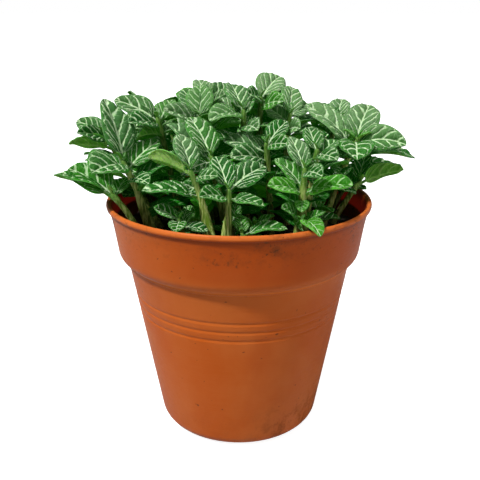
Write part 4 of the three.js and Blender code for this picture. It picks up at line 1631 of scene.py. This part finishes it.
@dataclass
class Foliage:
    """All leafy stems.

    Attributes:
        stalk_rows: share of a leaf's rows that lie in its stalk.
        stalk_end: shares of the leaf where the stalk starts and ends to flatten.
        thickness, stalk_depth: of the blade and of the stalk.
        pucker: height of the bulges between side veins.
        groove: depth of the midrib's groove, and its half width.
        rib: depth of the midrib below the blade, and its half width.
        wave, waves: height of the margin's waves, and how fast they follow each other.
        camber: rise of each half of the blade as a share of its width.
        bud, bud_lift: length of the bud's leaves on a tall and on a low stem, and their lift.
        hair, hair_radius: length of the stems' hairs, and radius of a hair's foot.
        hair_gap, hair_start: one hair for this length of stem, and the share of it that has none.
        stem_sides, stem_steps: faces round a stem and along it.
        swell: how much thicker a stem is at its leaves, and over which length.
        twins: leading shoots with a side stem, and how far its foot stands to the right.
        twin_reach: share of the stem's length where the side stem grows into it.
        inner_shade: how dusky the stems behind the leading ones are.
    """

    stalk_rows: float = 0.16
    stalk_end: Span = (0.1, 0.24)
    thickness: float = 0.4
    stalk_depth: float = 1.15
    pucker: float = 0.5
    groove: Span = (0.35, 0.55)
    rib: Span = (0.4, 0.5)
    wave: float = 0.55
    waves: float = 7.5
    camber: float = 0.3
    bud: Span = (4.2, 3.0)
    bud_lift: float = 58.0
    hair: float = 0.75
    hair_radius: float = 0.05
    hair_gap: float = 0.3
    hair_start: float = 0.04
    stem_sides: int = 12
    stem_steps: int = 24
    swell: Span = (0.22, 1.3)
    twins: dict[int, float] = field(default_factory=lambda: {3: 2.4, 4: -2.7, 5: -2.7, 6: -2.4, 15: 2.2})
    twin_reach: float = 0.62
    inner_shade: float = 0.55

    def build(self, shoots: Sequence[Shoot]) -> None:
        """Makes one piece for each shoot.

        Args:
            shoots: the shoots to dress.
        """
        self.blades = {detail: model_blade(*detail.value) for detail in Detail}
        self.stem = model_stem(self.stem_sides, self.stem_steps)
        self.spike = model_hair()
        veins = VEINS.build()
        upper = LeafFinish().build(veins)
        under = LeafFinish("leaf_under", (0.06, 0.23, 0.008), (0.24, 0.35, 0.1), (0.22, 0.38, 0.1),
                           nerve_share=0.5, net_share=0.3, relief_mm=-0.35, glow=0.8,
                           painted_sheen_share=0.15, hollow=0.15).build(veins)
        materials = (upper, under, StemFinish().build(), HairFinish().build())
        for shoot in shoots:
            store = MeshStore()
            detail = Detail.FINE if shoot.seed > LEADING_SEED else Detail.PLAIN
            for leaf in shoot.leaves:
                self.add_leaf(store, leaf, detail)
            for leaf in shoot.filling:
                self.add_leaf(store, leaf, Detail.SPARE)
            self.add_bud(store, shoot)
            self.add_stem(store, shoot)
            if shoot.seed - LEADING_SEED in self.twins:
                self.add_stem(store, shoot, self.twins[shoot.seed - LEADING_SEED])
            self.add_hairs(store, shoot)
            piece = store.make(f"{shoot.name}_leafy", materials)
            hand_over(piece, (shoot.name,))

    def add_leaf(self, store: MeshStore, leaf: Leaf, detail: Detail) -> None:
        """Sets down one leaf with its relief.

        Args:
            store: where it goes.
            leaf: the leaf.
            detail: how finely.
        """
        template = self.blades[detail]
        across = template.places[:, 1]
        below = np.abs(template.places[:, 2]) > 0.5
        blade, share = self.shares((template.places[:, 0] + 1) / 2)
        size = leaf.row.long / VEINS.full_size
        stalk_half = PETIOLE_HALF_WIDTH * min(1.0, 0.55 + 0.45 * size) * 0.8
        half = np.maximum(leaf.half_width(blade) + stalk_half * (1 - smooth(blade, 0, 0.12)), 0.08)
        across_mm = across * half
        out = np.abs(across)
        ends = smooth(blade, 0.02, 0.12) * (1 - smooth(blade, 0.86, 0.98))
        is_stalk = 1 - smooth(share, *self.stalk_end)
        round_stalk = np.sqrt(np.clip(1 - across ** 2, 0, 1))

        bulge = 0.0 if detail is Detail.SPARE else self.bulge(leaf, blade, across, across_mm / size)
        phase = TURN * leaf.seed
        wave = np.sin(self.waves * blade + phase + np.where(across > 0, 0.0, 2.1)) * out ** 2
        relief = (bulge + self.wave * wave) * size * ends
        camber = self.camber * half * (out - out ** 3) * ends
        tuck = out * out / (out + 0.12) * 1.12
        depth = (1 - is_stalk) * self.thickness * (1 - 0.3 * out ** 4)
        rib = self.rib[0] * size * np.exp(-(across_mm / self.rib[1]) ** 2) * (1 - 0.8 * blade)
        depth += rib * (1 - is_stalk)
        depth += is_stalk * (0.1 + self.stalk_depth * size ** 0.5 * round_stalk)
        lift = half * tuck * math.sin(FOLD) * (1 - is_stalk) + camber + relief
        lift += is_stalk * 0.12 * round_stalk - np.where(below, depth, 0.0)

        place, side, normal = leaf.midrib(share)
        places = place + side * (across_mm * math.cos(FOLD))[:, None] + normal * lift[:, None]
        uvs = np.column_stack((share, (across + 1) / 2))
        slots = [1 if all(below[i] for i in face) else 0 for face in template.faces]
        store.add(places, template.faces, slots, uvs, half=half, long=leaf.row.long,
                  seed=leaf.seed, youth=leaf.youth, shade=leaf.shade)

    def shares(self, run: np.ndarray) -> tuple[np.ndarray, np.ndarray]:
        """Spaces a leaf's rows, closer together at both ends of its blade.

        Args:
            run: shares of the template's length.

        Returns:
            Shares of the blade's length and of the whole leaf's.
        """
        blade_run = np.clip((run - self.stalk_rows) / (1 - self.stalk_rows), 0, 1)
        blade = 0.45 * blade_run + 0.55 * (1 - np.cos(math.pi * blade_run)) / 2
        stalk = PETIOLE_SHARE * np.clip(run / self.stalk_rows, 0, 1)
        return blade, np.where(run < self.stalk_rows, stalk, PETIOLE_SHARE + (1 - PETIOLE_SHARE) * blade)

    def bulge(self, leaf: Leaf, blade: np.ndarray, across: np.ndarray, off_rib: np.ndarray) -> np.ndarray:
        """The rise of the blade between its veins, which lie as in the vein pattern.

        Args:
            leaf: the leaf.
            blade: shares of the blade's length.
            across: shares of its half width, from -1 to 1.
            off_rib: distances from the midrib on a leaf of full size.

        Returns:
            The rise on a leaf of full size, in millimetres.
        """
        out = np.abs(across)
        side = np.where(across > 0, VEINS.stagger, -VEINS.stagger)
        rise = (VEINS.rise + VEINS.curl * out) * out * (VEINS.end - blade)
        turn = (blade - rise) * VEINS.turns + side + leaf.seed
        near = np.abs(turn - np.floor(turn) - 0.5)
        inside = 1 - smooth(out, 0.8, 0.93)
        between = self.pucker * smooth(near, 0, 0.36) * inside * smooth(out, 0.03, 0.2)
        return between - self.groove[0] * np.exp(-(off_rib / self.groove[1]) ** 2)

    def add_bud(self, store: MeshStore, shoot: Shoot) -> None:
        """Sets down the two smallest leaves at a shoot's tip.

        Args:
            store: where they go.
            shoot: the shoot.
        """
        first = shoot.leaves[0].row.turn + 90 if shoot.leaves else 0.0
        long = self.bud[0] if shoot.radius > LOW_RADIUS else self.bud[1]
        for side in (0, 1):
            lift = self.bud_lift + 10 * spread(shoot.seed, side, 31)
            row = Row(0, first + 180 * side, lift, long * (1 + 0.2 * spread(shoot.seed, side, 32)),
                      0.5 * long, 0, 20)
            leaf = Leaf(shoot.top + 0.4 * shoot.axis, row, hashed(shoot.seed, side, 33), 0.45)
            self.add_leaf(store, leaf, Detail.TINY)

    def add_stem(self, store: MeshStore, shoot: Shoot, aside: float = 0.0) -> None:
        """Sets down the stem with its thicker joints, or a side stem that grows into it.

        Args:
            store: where it goes.
            shoot: the shoot.
            aside: how far a side stem's foot stands to the right of the stem's.
        """
        places = np.empty_like(self.stem.places)
        shares = np.zeros(len(places))
        for i, (x, y, step) in enumerate(self.stem.places):
            place, along, radius, shares[i] = self.stem_ring(shoot, step, aside)
            side, ahead = axes_round(along)
            places[i] = place + radius * (x * side + y * ahead)
        shade = 0.0 if shoot.seed > LEADING_SEED else self.inner_shade
        store.add(places, self.stem.faces, [2] * len(self.stem.faces), youth=shares, shade=shade)

    def stem_ring(self, shoot: Shoot, step: float,
                  aside: float) -> tuple[np.ndarray, np.ndarray, float, float]:
        """One ring of a stem.

        Args:
            shoot: the shoot.
            step: the ring's number from the foot, whose first two stand in the soil.
            aside: as for the stem.

        Returns:
            Its middle, direction, radius and share of the stem's length.
        """
        if step <= 2:
            foot = shoot.foot + (aside, 0, STUB_SHOWN * (step - 2) / 2 + 0.6)
            return foot, np.array((0, 0, 1.0)), shoot.radius * 1.06, 0.0
        reach = self.twin_reach if aside else 1.0
        share = reach * min(1.0, (step - 2) / (self.stem_steps - 3))
        place, along = shoot.curve(share)
        place = place + (aside * (1 - (share / reach) ** 2), 0, 0)
        drop = shoot.length * (1 - share)
        joints = {leaf.row.drop for leaf in shoot.leaves}
        swell = sum(math.exp(-((drop - joint) / self.swell[1]) ** 2) for joint in sorted(joints))
        radius = shoot.radius * (1 - share * STEM_TAPER) * (0.9 + self.swell[0] * min(1.0, swell))
        radius *= 1 - 0.3 * float(smooth(share, 0.86, 1.0))
        if step >= self.stem_steps - 0.5:
            radius = 0.0
            if not aside:
                place = shoot.top + 0.3 * BUD_LENGTH * shoot.axis
        return place, along, radius, share

    def add_hairs(self, store: MeshStore, shoot: Shoot) -> None:
        """Sets down the stem's short hairs.

        Args:
            store: where they go.
            shoot: the shoot.
        """
        x, y, z = (column[:, None] for column in self.spike.places.T)
        for n in range(int(shoot.length / self.hair_gap)):
            share = hashed(shoot.seed, n, 41)
            if share < self.hair_start:
                continue
            place, along = shoot.curve(share)
            around = TURN * hashed(shoot.seed, n, 42)
            side, ahead = axes_round(along)
            out = math.cos(around) * side + math.sin(around) * ahead
            foot = place + out * shoot.radius * (1 - share * STEM_TAPER) * 0.88
            axis = unit(out + 0.5 * spread(shoot.seed, n, 43) * along)
            across = unit(np.cross(axis, along))
            long = self.hair * (0.7 + 0.6 * hashed(shoot.seed, n, 44))
            points = foot + self.hair_radius * (x * across + y * np.cross(axis, across)) + long * z * axis
            store.add(points, self.spike.faces, [3] * len(self.spike.faces))


# Pot

@dataclass
class Pot:
    """The turned plastic pot: foot with recess and drain holes, grooves, stepped rim and rolled lip.

    Attributes:
        height: of the whole pot.
        lip_radius, lip_height: at its widest, and from the band's top to the lip's.
        band_top_radius, band_bottom_radius, band_bottom_z: of the band below the lip.
        step_z, step_edge: height of the thin edge below the band, and how far it stands out.
        foot_radius, taper: of the wall at its foot, and how much it widens for each unit of height.
        foot_rounding: radius of the foot's round edge.
        wall, floor_z: thickness of the wall, and height of the floor inside.
        disc_radius, ring_radius: of the middle disc below, and within the foot ring.
        recess, recess_slopes: depth of the recess between them, and how far its two sides lean.
        grooves, groove_depth, groove_half: heights of the fine grooves, their depth and half height.
        lip_corners: each inside and below the lip's outer top edge, with its rounding.
        drain_holes, drain_radius, drain_circle: how many, their radius, and that of their circle.
        drain_sides, sides: faces round a hole and round the pot.
    """

    height: float = 109.0
    lip_radius: float = 60.0
    lip_height: float = 8.3
    band_top_radius: float = 57.4
    band_bottom_radius: float = 55.1
    band_bottom_z: float = 84.8
    step_z: float = 81.8
    step_edge: float = 1.0
    foot_radius: float = 36.97
    taper: float = 0.1758
    foot_rounding: float = 6.9
    wall: float = 1.5
    floor_z: float = 2.8
    disc_radius: float = 12.0
    ring_radius: float = 26.0
    recess: float = 1.2
    recess_slopes: Span = (0.9, 0.8)
    grooves: tuple[float, ...] = (58.5, 62.8, 67.1)
    groove_depth: float = 0.38
    groove_half: float = 1.05
    lip_corners: tuple[Place, ...] = ((1.25, 2.9, 0.2), (0.45, 2.7, 0.4), (0, 1.4, 0.8), (0.55, 0, 0.7),
                                      (1.9, 0.3, 0.7))
    drain_holes: int = 8
    drain_radius: float = 2.6
    drain_circle: float = 19.0
    drain_sides: int = 24
    sides: int = 144

    def wall_radius(self, z: float) -> float:
        """The outer radius of the tapered wall at a height."""
        return self.foot_radius + self.taper * z

    def profile(self) -> list[Place]:
        """Draws the half section from the middle of the base, up outside and down inside.

        Returns:
            Its corners, as radius, height and rounding.
        """
        slope = math.atan(self.taper)
        centre = self.wall_radius(self.foot_rounding) - self.foot_rounding / math.cos(slope)
        corners = [(0, 0, 0), (self.disc_radius, 0, 0.4),
                   (self.disc_radius + self.recess_slopes[0], self.recess, 0.4),
                   (self.ring_radius - self.recess_slopes[1], self.recess, 0.4), (self.ring_radius, 0, 0.4)]
        for share in np.linspace(0, 1, 9):
            angle = -math.pi / 2 + share * (math.pi / 2 - slope)
            corners.append((centre + self.foot_rounding * math.cos(angle),
                            self.foot_rounding * (1 + math.sin(angle)), 0))
        for z in self.grooves:
            low, high = z - self.groove_half, z + self.groove_half
            corners += [(self.wall_radius(low), low, 0.2),
                        (self.wall_radius(z) - self.groove_depth, z, 0.25),
                        (self.wall_radius(high), high, 0.2)]
        step_radius = self.wall_radius(self.step_z)
        lip_z = self.height - self.lip_height
        corners += [
            (self.wall_radius(self.step_z - 0.9), self.step_z - 0.9, 0.2),
            (step_radius + self.step_edge, self.step_z - 0.5, 0.5),
            (step_radius + self.step_edge, self.step_z + 0.5, 0.5),
            (self.band_bottom_radius, self.band_bottom_z, 2.2),
            (self.band_top_radius, lip_z, 5.0),
        ]
        corners += [(self.lip_radius - inwards, self.height - down, rounding)
                    for inwards, down, rounding in self.lip_corners]
        corners += [
            (self.band_top_radius - self.wall, lip_z - 0.3, 1.0),
            (self.band_bottom_radius - self.wall, self.band_bottom_z + 0.4, 1.0),
            (step_radius - self.wall, self.step_z + 0.4, 0.5),
            (self.wall_radius(self.foot_rounding) - self.wall, self.foot_rounding, 1.5),
            (centre + 3, self.floor_z, 1.0),
            (0, self.floor_z, 0),
        ]
        return corners

    def build(self) -> None:
        """Turns the pot, drills it and gives it its plastic."""
        piece = turn_profile("pot_turned", rounded_profile(self.profile()), self.sides)
        self.drill(piece)
        self.mark_inside(piece.data)
        piece.data.materials.clear()
        piece.data.materials.append(PotFinish().build())
        make_active(piece)
        bpy.ops.object.shade_smooth_by_angle(angle=radians(35))
        hand_over(piece, ("pot",))

    def mark_inside(self, mesh: bpy.types.Mesh) -> None:
        """Stores 1 on the points of the inner wall and floor, and 0 on the others.

        Args:
            mesh: the pot's mesh.
        """
        outer = [(z, r) for r, z, _ in self.profile() if r > self.wall_radius(z) - 2 * self.groove_depth]
        heights, radii = zip(*sorted(outer))
        values = []
        for vertex in mesh.vertices:
            z = vertex.co.z / MM
            reach = math.hypot(vertex.co.x, vertex.co.y) / MM
            is_within = reach < np.interp(z, heights, radii) - 0.6 * self.wall
            values.append(float(is_within and self.floor_z - 0.1 < z < self.height - 1.0))
        mesh.attributes.new("inside", "FLOAT", "POINT").data.foreach_set("value", values)

    def drill(self, piece: bpy.types.Object) -> None:
        """Cuts the drain holes.

        Args:
            piece: the pot.
        """
        for i in range(self.drain_holes):
            angle = TURN * (i + 0.5) / self.drain_holes
            start_fresh_selection()
            bpy.ops.mesh.primitive_cylinder_add(
                vertices=self.drain_sides, radius=self.drain_radius * MM, depth=3 * self.floor_z * MM,
                location=(self.drain_circle * math.cos(angle) * MM,
                          self.drain_circle * math.sin(angle) * MM, self.floor_z / 2 * MM))
            bpy.ops.object.transform_apply()
            cutter = bpy.context.object
            cut = piece.modifiers.new("drain", "BOOLEAN")
            cut.operation = "DIFFERENCE"
            cut.solver = "EXACT"
            cut.object = cutter
            make_active(piece)
            bpy.ops.object.modifier_apply(modifier=cut.name)
            bpy.data.objects.remove(cutter)


def rounded_profile(corners: Sequence[Place], steps: int = 4) -> list[Point]:
    """Rounds the corners of a half section.

    Args:
        corners: radius, height and rounding length of each corner.
        steps: parts of each rounding.

    Returns:
        The points of the rounded line.
    """
    points: list[Point] = []
    for i, (r, z, cut) in enumerate(corners):
        here = np.array((r, z), float)
        if cut == 0:
            points.append((r, z))
            continue
        before = np.array(corners[i - 1][:2], float) - here
        after = np.array(corners[i + 1][:2], float) - here
        start = here + before * min(0.45, cut / np.linalg.norm(before))
        end = here + after * min(0.45, cut / np.linalg.norm(after))
        for share in np.linspace(0, 1, steps + 1):
            rest = 1 - share
            point = rest ** 2 * start + 2 * rest * share * here + share ** 2 * end
            points.append((float(point[0]), float(point[1])))
    return points


def turn_profile(name: str, points: Sequence[Point], sides: int) -> bpy.types.Object:
    """Spins a half section round the upright axis.

    Args:
        name: the object's name.
        points: radius and height of each point, in millimetres.
        sides: steps of the turn.

    Returns:
        The turned object.
    """
    mesh = bpy.data.meshes.new(name)
    places = [(r * MM, 0, z * MM) for r, z in points]
    mesh.from_pydata(places, [(i, i + 1) for i in range(len(places) - 1)], [])
    piece = put_in_scene(name, mesh)
    make_active(piece)
    bpy.ops.object.mode_set(mode="EDIT")
    bpy.ops.mesh.select_all(action="SELECT")
    bpy.ops.mesh.spin(steps=sides, angle=TURN, center=(0, 0, 0), axis=(0, 0, 1))
    bpy.ops.mesh.select_all(action="SELECT")
    bpy.ops.mesh.remove_doubles(threshold=0.004 * MM)
    bpy.ops.mesh.normals_make_consistent(inside=False)
    bpy.ops.object.mode_set(mode="OBJECT")
    return piece


# Soil

@dataclass
class Soil:
    """Peat that fills the pot, with a rough crumbly top.

    Attributes:
        gap: distance to the pot's wall.
        bottom_z: height of its underside.
        edge_z: height where it widens below the band.
        rings: rings of faces on its top.
        sides: faces round it.
        clods: for coarse and fine clods, their scale in each millimetre, their height and their draw.
        crumbs: how many crumbs are strewn.
        crumb_reach: how far from the middle they lie at most.
        crumb_size: least size of a crumb, and how much larger it may be.
        crumb_gap: how far they stay from a stem's foot.
    """

    gap: float = 0.35
    bottom_z: float = 3.1
    edge_z: float = 85.5
    rings: int = 60
    sides: int = 160
    clods: tuple[Place, ...] = ((0.22, 0.9, 3.1), (0.7, 0.45, 9.7))
    crumbs: int = 420
    crumb_reach: float = 51.0
    crumb_size: Span = (0.5, 1.3)
    crumb_gap: float = 3.2

    def height(self, x: float, y: float) -> float:
        """The soil's height at a place: the packed soil's, with its clods."""
        wave = math.sin(0.21 * x + 1.3) * math.cos(0.17 * y - 0.4) + 0.6 * math.sin(0.33 * (x - y))
        clods = sum(rise * noise.noise(Vector((x * scale, y * scale, draw)))
                    for scale, rise, draw in self.clods)
        return SOIL_Z + SOIL_BUMP * wave + clods

    def build(self, feet: Sequence[np.ndarray]) -> None:
        """Makes the soil.

        Args:
            feet: where the stems stand.
        """
        pot = Pot()
        inset = pot.wall + self.gap
        edge = pot.band_bottom_radius - inset
        bottom = pot.foot_radius - inset - 3
        points: list[Point] = [
            (0, self.bottom_z),
            (bottom, self.bottom_z),
            (pot.wall_radius(pot.foot_rounding) - inset, pot.foot_rounding + 0.3),
            (pot.wall_radius(pot.step_z) - inset, pot.step_z + 0.7),
            (edge, self.edge_z),
            (edge + 0.9, SOIL_Z - 1),
        ]
        points += [(edge * share, SOIL_Z) for share in np.linspace(1, 0, self.rings)]
        piece = turn_profile("soil_peat", points, self.sides)
        for vertex in piece.data.vertices:
            if vertex.co.z > (SOIL_Z - 0.5) * MM:
                vertex.co.z = self.height(vertex.co.x / MM, vertex.co.y / MM) * MM
        finish = SoilFinish().build()
        piece.data.materials.append(finish)
        make_active(piece)
        bpy.ops.object.shade_smooth()
        hand_over(piece, ("soil",))
        self.add_crumbs(feet, finish)

    def add_crumbs(self, feet: Sequence[np.ndarray], finish: bpy.types.Material) -> None:
        """Strews crumbs on the soil.

        Args:
            feet: where the stems stand.
            finish: the crumbs' material.
        """
        template = model_crumb()
        store = MeshStore()
        for n in range(self.crumbs):
            reach = self.crumb_reach * math.sqrt(hashed(n, 1, 51))
            angle = TURN * hashed(n, 2, 51)
            x, y = reach * math.cos(angle), reach * math.sin(angle)
            if any(math.hypot(x - foot[0], y - foot[1]) < self.crumb_gap for foot in feet):
                continue
            size = self.crumb_size[0] + self.crumb_size[1] * hashed(n, 3, 51) ** 2
            shape = np.array((1, 0.6 + 0.5 * hashed(n, 4, 51), 0.5 + 0.4 * hashed(n, 5, 51))) * size
            turn = Matrix.Rotation(TURN * hashed(n, 6, 51), 3, "Z")
            jag = np.array([1 + 0.25 * spread(n, i, 52) for i in range(len(template.places))])
            local = template.places * jag[:, None] * shape
            places = local @ np.array(turn).T + (x, y, self.height(x, y) + 0.3 * size)
            store.add(places, template.faces, [0] * len(template.faces))
        hand_over(store.make("soil_crumbs", (finish,)), ())


# Studio

@dataclass
class Studio:
    """The floor, the lights and the camera of the photograph.

    Attributes:
        eye: the camera's place, in metres.
        pitch: its tilt down, in radians.
        lens_mm, sensor_mm: its focal length, and the width of its sensor.
        shift: sideways shift as a share of the width.
        near_m: the nearest that it sees, in metres.
        floor_radius: of the floor, in metres.
        ambient: strength of the light from all round.
        lights: for each light the side it comes from, how wide it is in radians, and its strength.
    """

    eye: Place = (0.0, -0.301, 0.1889)
    pitch: float = 0.325
    lens_mm: float = 50.98
    sensor_mm: float = 36.0
    shift: float = 0.0021
    near_m: float = 0.02
    floor_radius: float = 40.0
    ambient: float = 0.17
    lights: dict[str, tuple[Place, float, float]] = field(default_factory=lambda: {
        "key": ((-0.53, -0.46, 1.0), 0.1, 5.0),
        "fill": ((0.9, -0.5, 0.4), 1.0, 1.1),
        "top": ((0.05, 0.15, 1.0), 0.9, 0.5),
    })

    def build(self) -> None:
        """Sets up floor, lights, world and camera."""
        self.add_floor()
        for name, (place, width, strength) in self.lights.items():
            self.add_light(name, place, width, strength)
        self.light_world()
        bpy.context.scene.view_settings.view_transform = "Standard"
        camera = bpy.data.cameras.new("photo_camera")
        camera.lens = self.lens_mm
        camera.sensor_width = self.sensor_mm
        camera.shift_x = self.shift
        camera.clip_start = self.near_m
        holder = put_in_scene("photo_camera", camera)
        holder.location = self.eye
        holder.rotation_euler = (math.pi / 2 - self.pitch, 0, 0)
        bpy.context.scene.camera = holder

    def add_light(self, name: str, place: Place, width: float, strength: float) -> None:
        """Adds a soft light that reaches all of the floor evenly.

        Args:
            name: its name.
            place: the side it comes from, seen from the plant.
            width: how wide it is, in radians.
            strength: its strength.
        """
        light = bpy.data.lights.new(name, "SUN")
        light.angle = width
        light.energy = strength
        holder = put_in_scene(name, light)
        holder.location = place
        holder.rotation_euler = (-Vector(place)).to_track_quat("-Z", "Y").to_euler()

    def light_world(self) -> None:
        """Lights the room evenly, and shows it white to the camera."""
        world = bpy.data.worlds.new("studio_light")
        world.use_nodes = True
        graph = Graph(world.node_tree)
        background = next(node for node in graph.tree.nodes if node.type == "BACKGROUND")
        strength = graph.seen_by_camera() * (1 - self.ambient) + self.ambient
        graph.feed(background, {"Color": WHITE, "Strength": strength})
        bpy.context.scene.world = world

    def add_floor(self) -> None:
        """Adds the pale paper floor."""
        start_fresh_selection()
        bpy.ops.mesh.primitive_circle_add(vertices=96, radius=self.floor_radius, fill_type="NGON")
        floor = bpy.context.object
        floor.name = "paper_floor"
        floor.data.materials.append(FloorFinish().build())

    def pixels(self, places: np.ndarray) -> tuple[np.ndarray, np.ndarray, np.ndarray]:
        """Where places show in the frame.

        Args:
            places: places in millimetres.

        Returns:
            Column, row and depth of each, with columns and rows kept inside the frame.
        """
        off = places - np.array(self.eye) / MM
        forward = np.array((0, math.cos(self.pitch), -math.sin(self.pitch)))
        up = np.array((0, math.sin(self.pitch), math.cos(self.pitch)))
        depth = off @ forward
        focal = self.lens_mm / self.sensor_mm * FRAME_PIXELS
        x = FRAME_PIXELS / 2 - self.shift * FRAME_PIXELS + focal * off[:, 0] / depth
        y = FRAME_PIXELS / 2 - focal * (off @ up) / depth
        columns = np.clip(x.astype(int), 1, FRAME_PIXELS - 2)
        rows = np.clip(y.astype(int), 1, FRAME_PIXELS - 2)
        return columns, rows, depth


def main() -> None:
    """Builds the potted plant and its studio."""
    logging.basicConfig(level=logging.INFO, format="%(message)s")
    studio = Studio()
    studio.build()
    shoots = leading_shoots() + sown_shoots()
    Thicket().grow(shoots, studio)
    LOG.info("%d shoots with %d leaves and %d more in the thicket", len(shoots),
             sum(len(shoot.leaves) for shoot in shoots), sum(len(shoot.filling) for shoot in shoots))
    Pot().build()
    Soil().build([shoot.foot for shoot in shoots])
    Foliage().build(shoots)


if __name__ == "__main__":
    main()
